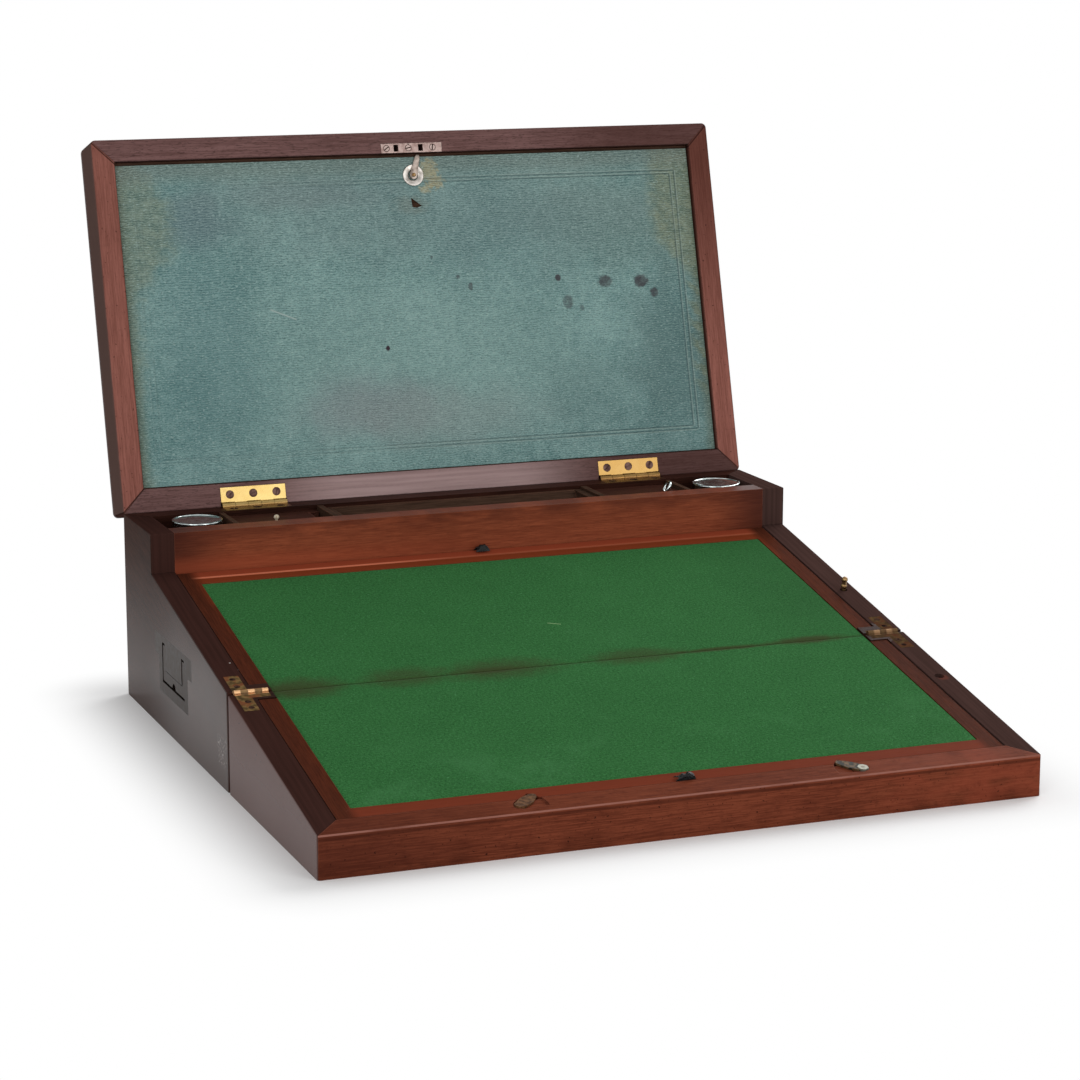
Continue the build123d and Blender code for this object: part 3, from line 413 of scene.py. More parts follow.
finishes = {
    "side": mahogany("case_side_polish", slope, "u", (0.029, 0.012, 0.008), (0.057, 0.023, 0.015),
                     marks=side_marks, arris_light_and_wear=0.7, worn=(0.012, 0.007, 0.006), coat=0.55,
                     roughness=0.42, specular=0.0),
    "back": mahogany("case_back_polish", upright, "x", (0.018, 0.007, 0.005),
                     (0.044, 0.015, 0.010), arris_light_and_wear=0),
    "front": mahogany("front_polish", slope, "x", (0.104, 0.0245, 0.0125), (0.195, 0.050, 0.0245),
                      marks=front_marks, arris_light_and_wear=0.4, specular=0.005),
    "fascia": mahogany("fascia_polish", upright, "x", (0.172, 0.038, 0.0165),
                       (0.295, 0.075, 0.033), marks=fascia_marks, specular=0.05),
    "stile": mahogany("lid_stile_polish", lid, "u", (0.215, 0.079, 0.060), (0.330, 0.128, 0.100),
                      marks=stile_marks, dirt=0.2, specular=0.0, worn=(0.018, 0.010, 0.009),
                      arris_light_and_wear=0.85),
    "rail": mahogany("lid_rail_polish", lid, "x", (0.118, 0.058, 0.053), (0.200, 0.106, 0.100),
                     marks=rail_marks, coat=0.35, roughness=0.4, worn=(0.018, 0.010, 0.009),
                     arris_light_and_wear=0.85, specular=0.0),
    "lid_board": mahogany("lid_board_polish", lid, "x", (0.026, 0.009, 0.006),
                          (0.072, 0.024, 0.014)),
    "border": mahogany("flap_border_polish", slope, "around", (0.048, 0.012, 0.0055),
                       (0.108, 0.025, 0.0105), marks=border_marks, arris_light_and_wear=0.25, specular=0.003),
    "inside": mahogany("inside_wood", upright, "x", (0.030, 0.016, 0.010), (0.075, 0.040, 0.026),
                       roughness=0.6),
    "cover": mahogany("cover_polish", upright, "x", (0.022, 0.009, 0.006), (0.065, 0.022, 0.015),
                      roughness=0.5),
}


def pine():
    """Bare pale boards inside the cases."""
    r = Recipe("bare_pine")
    grain = r.noise(r.x * 6, r.u * 90, r.w * 90, detail=5, twist=0.5)
    r.colour = r.mix(grain.step(0.35, 0.7), (0.34, 0.22, 0.12), (0.20, 0.115, 0.055))
    return r.finished(0.75, grain, bump=0.15)


# (x, u, reach along x, reach along u, strength) of the soiled places of the baize, in mm
baize_stains = ((-182, 0, 24, 13, 0.75), (-192, -1, 14, 7, 0.5), (-115, 2, 24, 12, 0.6),
                (-52, 1, 34, 13, 0.6), (-58, 0.5, 18, 4, 0.7), (40, 1, 28, 10, 0.6),
                (100, 0, 32, 2.6, 0.85), (161, 1, 22, 5, 0.9))
baize_soil = (0.036, 0.046, 0.013)


def baize_finish():
    """Green wool cloth, soiled along the fold, with a thread of lint on it."""
    r = Recipe("green_baize", slope)
    fibre = r.mottle(1300, rough=0.7)
    felt = r.noise(r.x * 620, r.u * 620, rough=0.65)
    cloud = r.noise(r.x * 26, r.u * 26, detail=5, rough=0.6)
    tone = (fibre - 0.5) * 2.2 + (felt - 0.5) * 1.9 + (cloud - 0.5) * 0.3 + 0.5
    r.colour = r.mix(tone.step(-0.1, 1.1), (0.009, 0.068, 0.014), (0.038, 0.178, 0.047))
    # bobbles, paler bare places, a shaded corner, dust along the fold and painted shade in its
    # crease
    bobble = r.noise(r.x * 700, r.u * 700, 0.3, detail=2).step(0.64, 0.74)
    r.wash(bobble * 0.6, (0.075, 0.24, 0.095))
    pale = r.noise(r.x * 12, r.u * 12, 9.0, detail=5, rough=0.7).step(0.50, 0.70)
    near_front = (r.u / mm).step(-70, -150) * 0.5 + 0.12
    r.wash(pale * near_front, (0.050, 0.185, 0.062))
    shade = r.x.step(110 * mm, 200 * mm) * r.u.step(-20 * mm, 60 * mm)
    r.wash(shade * 0.3, (0.008, 0.058, 0.012))
    dusty = abs(r.u).step(3.2 * mm, 0.3 * mm) * r.noise(r.x * 60, r.u * 200).step(0.3, 0.6)
    r.wash(dusty * 0.35, (0.045, 0.075, 0.022))
    # painted shade in the crease along the fold
    crease = abs(r.u).step(0.9 * mm, 0.1 * mm)
    r.wash(crease * 0.55, (0.012, 0.036, 0.010))
    for *place, strength in baize_stains:
        stain = r.blot(*place, ragged=0.45, soft=0.6, scale=150)
        r.wash(stain * strength, baize_soil)
    lint = r.stroke((2, 60.5), (10, 57), 0.25, 0.2)
    r.wash(lint * 0.8, (0.30, 0.45, 0.22))
    height = fibre * 0.5 + felt
    return r.finished(0.95, height, bump=0.45, Specular_IOR_Level=0.03, Sheen_Weight=0.03)


# (x, u, reach along x, reach along u, strength) of the ink spots on the leather, in mm
ink_spots = ((102.8, 146.7, 2.2, 2.4, 0.9), (108.9, 129.0, 3.7, 4.8, 0.62),
             (138.8, 142.6, 5.2, 4.0, 0.75), (166.9, 141.8, 5.4, 4.6, 0.85),
             (176.4, 132.9, 3.2, 3.4, 0.8), (119.1, 124.4, 1.8, 2.2, 0.45),
             (36.1, 143.5, 1.7, 2.8, 0.7), (27.3, 150.5, 1.4, 1.4, 0.6),
             (9.0, 165.3, 0.9, 1.2, 0.5), (-29.5, 102.5, 1.5, 1.8, 1.0),
             (-118.0, 52.0, 1.0, 1.0, 0.5), (60.0, 60.0, 0.9, 0.9, 0.4))

# (x, u, reach along x, reach along u, strength, colour) of the leather's larger blots, in mm
leather_blots = ((-158, 196, 20, 16, 0.6, (0.130, 0.165, 0.190)),
                 (-90, 214, 70, 10, 0.4, (0.170, 0.190, 0.195)),
                 (-45, 62, 46, 20, 0.6, (0.215, 0.232, 0.245)),
                 (10, 52, 60, 18, 0.4, (0.270, 0.310, 0.300)),
                 (-150, 100, 34, 60, 0.25, (0.085, 0.195, 0.200)),
                 (188, 85, 32, 60, 0.7, (0.075, 0.140, 0.138)),
                 (150, 190, 70, 36, 0.4, (0.135, 0.180, 0.155)),
                 (0, 198, 150, 30, 0.35, (0.150, 0.185, 0.185)),
                 (-165, 120, 36, 95, 0.4, (0.090, 0.185, 0.192)),
                 (120, 60, 40, 26, 0.35, (0.120, 0.200, 0.195)),
                 (70, 175, 60, 30, 0.35, (0.115, 0.205, 0.210)))

# (place across the line, half width, softness, strength, colour) of a furrow and of its lip, in mm
tooling = ((0, 0.3, 0.5, 0.55, (0.035, 0.065, 0.065)), (0.9, 0.2, 0.4, 0.35, (0.36, 0.44, 0.40)))
hide_half = 212.1           # the leather's half width, and where it ends up the lid, in mm
hide_low = 16.7
hide_high = 237.0


def tooled_lines(r, x, u):
    """Blind-tooled lines round the leather: dark furrows with a lighter lip, faint at the left."""
    worn = r.noise(r.x * 30, r.u * 30, 5.0).step(0.35, 0.6) * 0.3 + x.step(-170, 120) * 0.7
    middle = (hide_low + hide_high) / 2
    for side_inset, end_inset in ((15.2, 18.0), (11.4, 15.6)):
        beside = abs(x) - (hide_half - side_inset)
        beyond = abs(u - middle) - (hide_high - middle - end_inset)
        for centre, reach, soft, strength, tint in tooling:
            sides = beside.near(centre, reach, soft) * beyond.step(1, -1)
            ends = beyond.near(centre, reach, soft) * beside.step(1, -1)
            r.wash(sides.math("MAXIMUM", ends) * worn * strength, tint)


rib_pitch = 1.65            # of the leather's straight grain, in mm


def leather_finish():
    """Blue-green straight-grain leather, faded and stained, with a tooled double border."""
    r = Recipe("panel_leather_finish", lid)
    x = r.x / mm
    u = r.u / mm
    # wandering ribs of the grain, then the ground colour
    warp = r.noise(r.x * 26, r.u * 26) * 8.0 + r.noise(r.x * 330, r.u * 170) * 2.6
    rib = ((u + warp) * (2 * pi / rib_pitch)).math("SINE") * 0.5 + 0.5
    rib = rib * r.noise(r.x * 260, r.u * 700, detail=2).step(0.3, 0.6)
    cloud = r.noise(r.x * 14, r.u * 14, detail=6, rough=0.66)
    fine = r.noise(r.x * 110, r.u * 150, detail=6, rough=0.72)
    skin = r.noise(r.x * 620, r.u * 1150, detail=2, rough=0.7)
    tone = (cloud - 0.5) * 1.4 + (fine - 0.5) * 1.1 + (skin - 0.5) * 1.8 + 0.5
    r.colour = r.mix(tone.step(-0.15, 1.15), (0.070, 0.168, 0.166), (0.270, 0.425, 0.405))
    middle = r.blot(0, 95, 130, 60, ragged=0.5, soft=0.7, scale=16)
    r.wash(middle * 0.35, (0.290, 0.430, 0.400))
    for *place, strength, tint in leather_blots:
        blot = r.blot(*place, ragged=0.6, soft=0.7, scale=45)
        r.wash(blot * strength, tint)
    # olive band down the left, browned rim, olive corner and streaks at the right, dull top
    wander = (fine - 0.5) * 26 + (cloud - 0.5) * 40
    width = abs(u - 195).step(60, 8) * 32 + 5
    band = (width - 212 + wander - x).step(-8, 11)
    grain = fine.step(0.35, 0.65)
    olive = r.mix(grain, (0.115, 0.165, 0.125), (0.215, 0.260, 0.190))
    r.wash(band * 0.78, olive)
    rim = (212 - abs(x) + wander * 0.12).step(9, 0)
    r.wash(rim * 0.55, (0.12, 0.135, 0.085))
    slant = ((u * 0.8 + x * 0.6 + wander * 0.5) * 0.55).math("SINE").step(-0.4, 0.7)
    streaks = slant * x.step(198, 208) * u.within(70, 150, 20)
    corner_edge = 178 + (175 - u).math("MAXIMUM", 0.0) * 0.9
    corner = (x - corner_edge + wander * 0.6).step(-6, 9)
    corner = corner.math("MAXIMUM", streaks * 0.8)
    olive = r.mix(grain, (0.120, 0.150, 0.095), (0.215, 0.235, 0.145))
    r.wash(corner * 0.8, olive)
    top = (u + wander * 0.15).step(218, 232)
    r.wash(top * 0.55, (0.150, 0.165, 0.140))
    # straw-coloured marks and a grey halo where the catch has rubbed
    for place in ((13, 226, 6, 9), (18, 219, 5, 5), (9, 214, 4, 3)):
        straw = r.blot(*place, ragged=1.1, soft=0.35, scale=330)
        r.wash(straw * 0.75, (0.38, 0.33, 0.19))
    halo = r.blot(-2, 203, 12, 6, ragged=0.8, soft=0.5, scale=200)
    r.wash(halo * 0.45, (0.17, 0.185, 0.155))
    # furrows and crests of the ribs, pale flecks and dark pits
    ribbed = u.step(60, 170) * 0.14 + 0.20
    r.wash(rib.step(0.35, 0.95) * ribbed, (0.030, 0.080, 0.084))
    r.wash(rib.step(0.4, 0.0) * ribbed * 0.5, (0.36, 0.50, 0.47))
    fleck = r.noise(r.x * 420, r.u * 1300, detail=2).step(0.56, 0.68)
    r.wash(fleck * 0.5, (0.40, 0.52, 0.49))
    pit = r.noise(r.x * 700, r.u * 1000, detail=2).step(0.58, 0.70)
    r.wash(pit * 0.55, (0.03, 0.07, 0.075))
    tooled_lines(r, x, u)
    for *place, strength in ink_spots:
        spot = r.blot(*place, ragged=0.5, soft=0.25, scale=420)
        mottled = strength - fine.step(0.42, 0.66) * (1 - strength) * 1.2
        r.wash(spot * mottled, (0.042, 0.027, 0.036))
    scratch = r.stroke((-112, 133.8), (-93.7, 126), 0.3, 0.4)
    r.wash(scratch * 0.8, (0.36, 0.44, 0.42))
    height = fine * 0.4 - rib * 0.5 + skin * 0.5
    return r.finished(0.66, height, bump=0.45, Specular_IOR_Level=0.12)


def metal(name, deep, pale, roughness, fleck=250.0, grime=(0.04, 0.03, 0.02), soiled=0.3,
          marks=None, bright=1.0):
    """Worn metal: mottled tone and grime in patches; bright is 0 for rust, which shines little."""
    r = Recipe(name, lid if marks else upright)
    cloud = r.mottle(fleck, detail=4)
    r.colour = r.mix(cloud.step(0.35, 0.65), deep, pale)
    r.wash(cloud.step(0.58, 0.75) * soiled, grime)
    if marks:
        marks(r)
    rough = roughness + (cloud - 0.5) * 0.25
    return r.finished(rough, cloud, bump=0.06, rounded=0.25 * mm, Metallic=bright,
                      Specular_IOR_Level=0.5 * bright)


def hinge_marks(r):
    """Lid hinges: duller at the right, browned along the knuckles and in patches."""
    r.wash(r.x.step(0.0, 0.1), (0.68, 0.58, 0.52), "MULTIPLY")
    low = (r.u / mm).step(2.4, -0.5)
    r.wash(low * 0.75, (0.10, 0.045, 0.018))
    drift = r.noise(r.x * 55, r.u * 55, 7.0, detail=2).step(0.45, 0.65)
    r.wash(drift * 0.4, (0.30, 0.17, 0.05))


def screw_marks(r):
    """Screws: paler in the lid's link plate, with painted shade in their slots and round their
    heads.
    """
    high = (r.u / mm).step(190, 200)
    r.wash(high, (0.34, 0.26, 0.235))
    for x, tilt in ((-18.0, 35), (-1.8, 12), (16.1, 80)):
        middle = Vector((x, link_screw_run))
        turn = Vector((cos(radians(tilt)), sin(radians(tilt)))) * 2.1
        slot = r.stroke(middle - turn, middle + turn, 0.32, 0.2)
        ring = ((r.x / mm - x) ** 2 + (r.u / mm - link_screw_run) ** 2) ** 0.5
        # painted shade in each slot and in a ring round the head
        dark = slot.math("MAXIMUM", ring.step(1.7, 2.1)) * high
        r.wash(dark * ring.step(3.5, 3.0) * 0.9, (0.030, 0.014, 0.011))


knuckle_pitch = 9.0         # of the fold hinges' bright knuckles, in mm


def rim_brass():
    """Dulled brass of the fold hinges: olive with copper patches, nearly black at the right."""
    r = Recipe("dulled_brass", slope)
    cloud = r.mottle(260, detail=4)
    patch = r.noise(r.x * 120, r.u * 120, 4.0)
    r.colour = r.mix(cloud.step(0.35, 0.65), (0.085, 0.055, 0.024), (0.20, 0.125, 0.050))
    r.wash(patch.step(0.50, 0.60) * 0.7, (0.17, 0.050, 0.024))
    r.wash(patch.step(0.48, 0.38) * 0.6, (0.030, 0.022, 0.014))
    r.wash(r.x.step(0.0, 0.1) * 0.6, (0.045, 0.022, 0.014))
    turns = (r.x / mm * (2 * pi / knuckle_pitch)).math("SINE").step(-0.3, 0.3) * 0.7 + 0.2
    barrel = (abs(r.u) / mm).step(3.2, 2.6) * turns * (0.9 - r.x.step(0.0, 0.1) * 0.6)
    r.wash(barrel, (0.85, 0.50, 0.26))
    return r.finished(0.42, cloud, bump=0.1, rounded=0.25 * mm, Metallic=barrel,
                      Specular_IOR_Level=0.0)


catch_button = (111.9, -176.6)      # middle of the right catch's button on the slope, in mm


def catch_brass():
    """Flap catches: browned brass at the left, dark steel with a bright button at the right, its
    hollow middle painted dark as shade.
    """
    r = Recipe("catch_brass", slope)
    cloud = r.mottle(330, detail=4)
    left = r.mix(cloud.step(0.35, 0.65), (0.060, 0.026, 0.011), (0.17, 0.078, 0.033))
    right = r.mix(cloud.step(0.4, 0.62), (0.014, 0.014, 0.010), (0.13, 0.075, 0.034))
    r.colour = r.mix(r.x.step(-0.05, 0.05), left, right)
    button = r.blot(*catch_button, 3.4, 3.4, ragged=0.1, soft=0.1)
    r.wash(button * 0.9, (0.25, 0.25, 0.21))
    # painted shade in the button's hollow middle
    centre = r.blot(*catch_button, 1.2, 1.2, ragged=0.1, soft=0.2)
    r.wash(centre * 0.8, (0.10, 0.08, 0.06))
    return r.finished(0.42, cloud, bump=0.1, rounded=0.25 * mm, Metallic=button * 0.5,
                      Specular_IOR_Level=0.05)


def bone():
    """Old bone, yellowed in its pores."""
    r = Recipe("old_bone")
    cloud = r.noise(r.x * 900, r.u * 900, r.w * 300)
    r.colour = r.mix(cloud.step(0.4, 0.7), (0.66, 0.58, 0.44), (0.42, 0.32, 0.19))
    return r.finished(0.35, cloud, bump=0.1)


def tab_hide():
    """Blackened soft leather."""
    r = Recipe("black_tab_hide")
    cloud = r.mottle(900, detail=4)
    r.colour = r.mix(cloud.step(0.4, 0.7), (0.002, 0.003, 0.003), (0.010, 0.011, 0.012))
    return r.finished(0.38, cloud, bump=0.9, Specular_IOR_Level=0.2)


def bottle_glass():
    """Clear glass with a cold tint."""
    r = Recipe("bottle_glass")
    r.colour = (0.86, 0.93, 0.90)
    return r.finished(0.04, Transmission_Weight=1.0, IOR=1.5)


finishes |= {
    "pine": pine(),
    "baize": baize_finish(),
    "leather": leather_finish(),
    "bright_brass": metal("bright_brass", (0.39, 0.275, 0.098), (0.48, 0.350, 0.135), 0.28,
                          fleck=120, grime=(0.28, 0.15, 0.05), marks=hinge_marks),
    "old_brass": metal("old_brass", (0.17, 0.10, 0.045), (0.34, 0.22, 0.10), 0.35, soiled=0.6),
    "catch_brass": catch_brass(),
    "rim_brass": rim_brass(),
    "black_brass": metal("blackened_brass", (0.022, 0.015, 0.012), (0.040, 0.027, 0.021), 0.5),
    "steel": metal("screw_steel", (0.040, 0.020, 0.017), (0.12, 0.070, 0.058), 0.42,
                   marks=screw_marks),
    "dark_steel": metal("rusted_screws", (0.020, 0.011, 0.009), (0.075, 0.042, 0.030), 0.5,
                        bright=0),
    "link": metal("link_plate_steel", (0.20, 0.135, 0.12), (0.36, 0.27, 0.245), 0.4, soiled=0.6),
    "rose_steel": metal("catch_rose_steel", (0.32, 0.29, 0.26), (0.58, 0.54, 0.50), 0.32),
    "tongue_steel": metal("catch_tongue_steel", (0.16, 0.13, 0.11), (0.36, 0.30, 0.26), 0.35),
    "silver": metal("cap_silver", (0.34, 0.39, 0.39), (0.62, 0.66, 0.65), 0.2),
    "glass": bottle_glass(),
    "tab": tab_hide(),
    "bone": bone(),
}

wears = {
    "side": "rear_left_side rear_right_side drawer_front front_left_side front_right_side",
    "back": "rear_back_board rear_fold_wall front_fold_wall",
    "front": "front_rail",
    "fascia": "rear_fascia",
    "stile": "lid_stiles",
    "rail": "lid_rails",
    "lid_board": "lid_top_board",
    "border": "upper_flap_board upper_flap_border lower_flap_board lower_flap_border",
    "inside": "rear_flap_ledges front_flap_ledges tray_partitions pen_tray panel_board",
    "cover": "left_cover right_cover",
    "pine": "rear_bottom_board front_bottom_board drawer_housing drawer_sides drawer_bottom",
    "baize": "upper_baize lower_baize",
    "leather": "panel_leather",
    "bright_brass": "lid_hinge_leaves case_lid_hinge_leaves catch_rose panel_catch",
    "old_brass": "drawer_pin hinge_pins box_lock lock_bolt",
    "catch_brass": "left_flap_catch right_flap_catch",
    "rim_brass": "case_rim_hinge_leaves front_rim_hinge_leaves",
    "black_brass": "left_handle_plate right_handle_plate left_bail right_bail",
    "steel": "lid_screws",
    "dark_steel": "case_screws front_screws",
    "link": "lid_link_plate",
    "silver": "left_ink_cap right_ink_cap",
    "glass": "left_ink_bottle right_ink_bottle",
    "tab": "upper_pull_tab lower_pull_tab",
}
for finish, names in wears.items():
    for name in names.split():
        node = frame["nodes"][name]
        node.data.materials.clear()
        node.data.materials.append(finishes[finish])


# ---- bench work ---------------------------------------------------------------------------
def clear():
    """Leave nothing selected."""
    bpy.ops.object.select_all(action="DESELECT")


def held(piece):
    """Leave edit mode with just this piece selected."""
    if piece.mode == "EDIT":
        bpy.ops.object.mode_set(mode="OBJECT")
    clear()
    piece.select_set(True)
    bpy.context.view_layer.objects.active = piece


def worked(piece, kind, **settings):
    """Give a piece one modifier and apply it."""
    held(piece)
    tool = piece.modifiers.new(kind.lower(), kind)
    for name, value in settings.items():
        setattr(tool, name, value)
    bpy.ops.object.modifier_apply(modifier=tool.name)


def began(name):
    """Name the primitive just added and open it for shaping, all selected."""
    piece = bpy.context.object
    piece.name = name
    bpy.ops.object.mode_set(mode="EDIT")
    bpy.ops.mesh.select_all(action="SELECT")
    return piece


def pick(test, kind="faces"):
    """In edit mode, select just the faces, edges or points whose middle passes the test."""
    mesh = bmesh.from_edit_mesh(bpy.context.object.data)
    bpy.ops.mesh.select_all(action="DESELECT")
    for item in getattr(mesh, kind):
        if kind == "faces":
            middle = item.calc_center_median()
        elif kind == "edges":
            middle = (item.verts[0].co + item.verts[1].co) / 2
        else:
            middle = item.co
        if test(middle):
            item.select_set(True)
    bmesh.update_edit_mesh(bpy.context.object.data)


def raised(height):
    """Extrude what is selected upwards."""
    bpy.ops.mesh.extrude_region_move(TRANSFORM_OT_translate={"value": (0, 0, height)})


def faced_out():
    """Turn every face of the open piece outwards."""
    bpy.ops.mesh.select_all(action="SELECT")
    bpy.ops.mesh.normals_make_consistent(inside=False)


def turned(name, rings, segments, bored=False):
    """Lathe work through rings of (radius, height) in mm: closed at the ends, or bored through."""
    clear()
    rings = [(radius * mm, height * mm) for radius, height in rings]
    radius, height = rings[0]
    bpy.ops.mesh.primitive_circle_add(vertices=segments, radius=radius, fill_type="NGON",
                                      location=(0, 0, height))
    piece = began(name)
    for next_radius, next_height in rings[1:]:
        raised(next_height - height)
        wider = next_radius / radius
        bpy.ops.transform.resize(value=(wider, wider, 1), center_override=(0, 0, next_height))
        radius, height = next_radius, next_height
    if bored:
        pick(lambda at: at.x ** 2 + at.y ** 2 < (0.01 * mm) ** 2)
        bpy.ops.mesh.delete(type="ONLY_FACE")
        bpy.ops.mesh.select_all(action="SELECT")
        bpy.ops.mesh.remove_doubles(threshold=0.001 * mm)
    faced_out()
    return piece


def drawn(name, stations, low, high):
    """A flat plate along Y through stations of (run, half width), between two heights, in mm."""
    clear()
    stations = [(run * mm, half * mm) for run, half in stations]
    low, high = low * mm, high * mm
    run, half = stations[0]
    bpy.ops.mesh.primitive_plane_add(size=1, location=(0, 0, low))
    piece = began(name)
    bpy.ops.transform.resize(value=(2 * half, stations[1][0] - run, 1))
    bpy.ops.transform.translate(value=(0, (run + stations[1][0]) / 2, 0))
    for (run, _), (next_run, _) in zip(stations[1:], stations[2:]):
        middle = run - 1e-6
        pick(lambda at: at.y > middle, "edges")
        bpy.ops.mesh.extrude_edges_move(TRANSFORM_OT_translate={"value": (0, next_run - run, 0)})
    for run, half in stations:
        pick(lambda at: abs(at.y - run) < 1e-6, "verts")
        wider = half / stations[0][1]
        bpy.ops.transform.resize(value=(wider, 1, 1), center_override=(0, run, low))
    bpy.ops.mesh.select_all(action="SELECT")
    raised(high - low)
    faced_out()
    return piece


def settled(piece, place, body, finish, slot, *stands_for):
    """Put a finished piece in its place and hand it to its body."""
    held(piece)
    bpy.ops.object.transform_apply(location=True, rotation=True, scale=True)
    bpy.ops.object.shade_smooth_by_angle(angle=radians(35))
    piece.data.transform(place)
    piece.data.materials.clear()
    piece.data.materials.append(finishes[finish])
    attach(piece, body)
    if stands_for:
        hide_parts(*stands_for)


# ---- cloth and leather --------------------------------------------------------------------
def cloth_grid(name, low, high, across, along):
    """A flat grid of cloth between two corners of its own frame."""
    clear()
    bpy.ops.mesh.primitive_grid_add(x_subdivisions=across, y_subdivisions=along, size=1)
    piece = began(name)
    bpy.ops.transform.resize(value=(high[0] - low[0], high[1] - low[1], 1))
    bpy.ops.transform.translate(value=((low[0] + high[0]) / 2, (low[1] + high[1]) / 2, 0))
    bpy.ops.object.mode_set(mode="OBJECT")
    return piece


def thickened(piece, thickness):
    """Give a sheet its thickness, downwards."""
    worked(piece, "SOLIDIFY", thickness=thickness, offset=-1)


unevenness = 0.10 * mm      # of the cloths and of the leather
baize_half = 199.9 * mm
baize_top = -0.7 * mm
baize_thick = 0.9 * mm
pressed_edge = 1.6 * mm     # width of the cloths' pressed-down edges, and how far they drop
edge_drop = 0.35 * mm
hide_thick = 0.55 * mm
tab_thick = 0.4 * mm


def lay_baize(leaf, near, far):
    """One flap's baize: glued flat, a little uneven, with pressed-down edges."""
    piece = cloth_grid(leaf + "_cloth", (-baize_half, near), (baize_half, far), 200, 90)
    for vertex in piece.data.vertices:
        x, run, _ = vertex.co
        swell = noise.fractal(Vector((x * 22, run * 22, near)), 1.0, 2.0, 4) * unevenness
        edge = min(baize_half - abs(x), run - near, far - run)
        droop = max(0.0, 1 - edge / pressed_edge) ** 2 * edge_drop
        vertex.co.z = baize_top - 0.12 * mm + swell - droop
    thickened(piece, baize_thick)
    settled(piece, slope, leaf + "_flap", "baize", "baize", leaf + "_baize")


lay_baize("upper", 0.25 * mm, 165.58 * mm)
lay_baize("lower", -156.38 * mm, -0.25 * mm)

leather_low = Vector((-hide_half, hide_low)) * mm
leather_high = Vector((hide_half, hide_high)) * mm
leather_top = -3.75 * mm
tear = [Vector(at) * mm for at in ((-2.2, 208.2), (5.6, 202.2), (-1.6, 201.4))]
lifted_reach = 16 * mm      # how far the leather stands up round its tear, and how high
lifted_height = 0.25 * mm
cutter_low = -8 * mm        # foot of the prism that cuts the tear, and its height
cutter_height = 10 * mm


def lay_leather():
    """The panel's leather: stretched and glued, uneven, torn through below the catch."""
    piece = cloth_grid("panel_hide", leather_low, leather_high, 212, 110)
    for vertex in piece.data.vertices:
        x, run, _ = vertex.co
        swell = noise.fractal(Vector((x * 30, run * 30, 4.2)), 1.0, 2.0, 5) * unevenness
        near_tear = max(0.0, 1 - (Vector((x, run)) - tear[0]).length / lifted_reach)
        vertex.co.z = leather_top - 0.1 * mm + swell + near_tear ** 2 * lifted_height
    thickened(piece, hide_thick)
    clear()
    bpy.ops.mesh.primitive_plane_add(size=1)
    cutter = began("tear_cutter")
    mesh = bmesh.from_edit_mesh(cutter.data)
    corners = [*tear, (tear[1] + tear[2]) / 2 - Vector((0.3, 0.9)) * mm]
    for vertex, corner in zip(sorted(mesh.verts, key=lambda v: (v.co.y, v.co.x)), corners):
        vertex.co = (corner.x, corner.y, cutter_low)
    bmesh.update_edit_mesh(cutter.data)
    raised(cutter_height)
    faced_out()
    bpy.ops.object.mode_set(mode="OBJECT")
    worked(piece, "BOOLEAN", operation="DIFFERENCE", object=cutter)
    bpy.data.objects.remove(cutter)
    settled(piece, lid, "lid_panel", "leather", "leather", "panel_leather")


lay_leather()


def crumpled_tab(leaf, x_low, x_high, root, tip):
    """A leather pull tab: up from its flap's edge, creased, and folded back down."""
    # (run, rise) of the folded strip from its root to its tip, in mm
    path = [(root, -0.35), (root, 1.9), (0.8 * root + 0.2 * tip, 4.0),
            (0.5 * root + 0.5 * tip, 4.3), (0.25 * root + 0.75 * tip, 2.6), (tip, 0.45)]
    lengths = [0.0]
    for (run, rise), (next_run, next_rise) in zip(path, path[1:]):
        lengths.append(lengths[-1] + Vector((next_run - run, next_rise - rise)).length)
    long = lengths[-1]
    piece = cloth_grid(leaf + "_tab_hide", (x_low * mm, 0), (x_high * mm, long * mm), 44, 40)
    for vertex in piece.data.vertices:
        x, out, _ = vertex.co / mm
        at = max(i for i, length in enumerate(lengths[:-1]) if out >= length - 1e-4)
        part = (out - lengths[at]) / (lengths[at + 1] - lengths[at])
        run = path[at][0] + part * (path[at + 1][0] - path[at][0])
        rise = path[at][1] + part * (path[at + 1][1] - path[at][1])
        across = (x - x_low) / (x_high - x_low)
        free = sin(pi * min(1.0, out / long + 0.02))
        crease = noise.fractal(Vector((x * 0.42, out * 0.35, x_low)), 1.0, 2.0, 3)
        lean = abs(across - 0.62) * 1.7 * free
        rise = max(rise * (1 - 0.62 * lean) + 0.7 * crease * free, -0.4 + out * 0.01)
        drawn_in = x - (across - 0.6) * 3.0 * free
        vertex.co = Vector((drawn_in, run + 0.9 * crease * free, rise)) * mm
    worked(piece, "SMOOTH", iterations=3)
    thickened(piece, tab_thick)
    settled(piece, slope, leaf + "_flap", "tab", "tab_leather", leaf + "_pull_tab")
    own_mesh(piece)


crumpled_tab("upper", -5, 5.1, 183.2, 178.2)
crumpled_tab("lower", -5, 8, -167.5, -163.2)


# ---- inkwells -----------------------------------------------------------------------------
cap_rings = [(0.5, 123.2), (12.2, 123.2), (12.2, 116.4), (16.3, 116.4), (16.9, 116.7),
             (16.9, 117.7), (16.3, 118.0), (16.3, 119.0), (16.8, 119.3), (16.8, 123.9),
             (17.0, 124.3), (16.9, 124.8), (16.5, 125.0), (16.0, 124.9), (15.7, 124.5),
             (15.3, 124.3), (8.0, 124.4), (0.5, 124.45)]


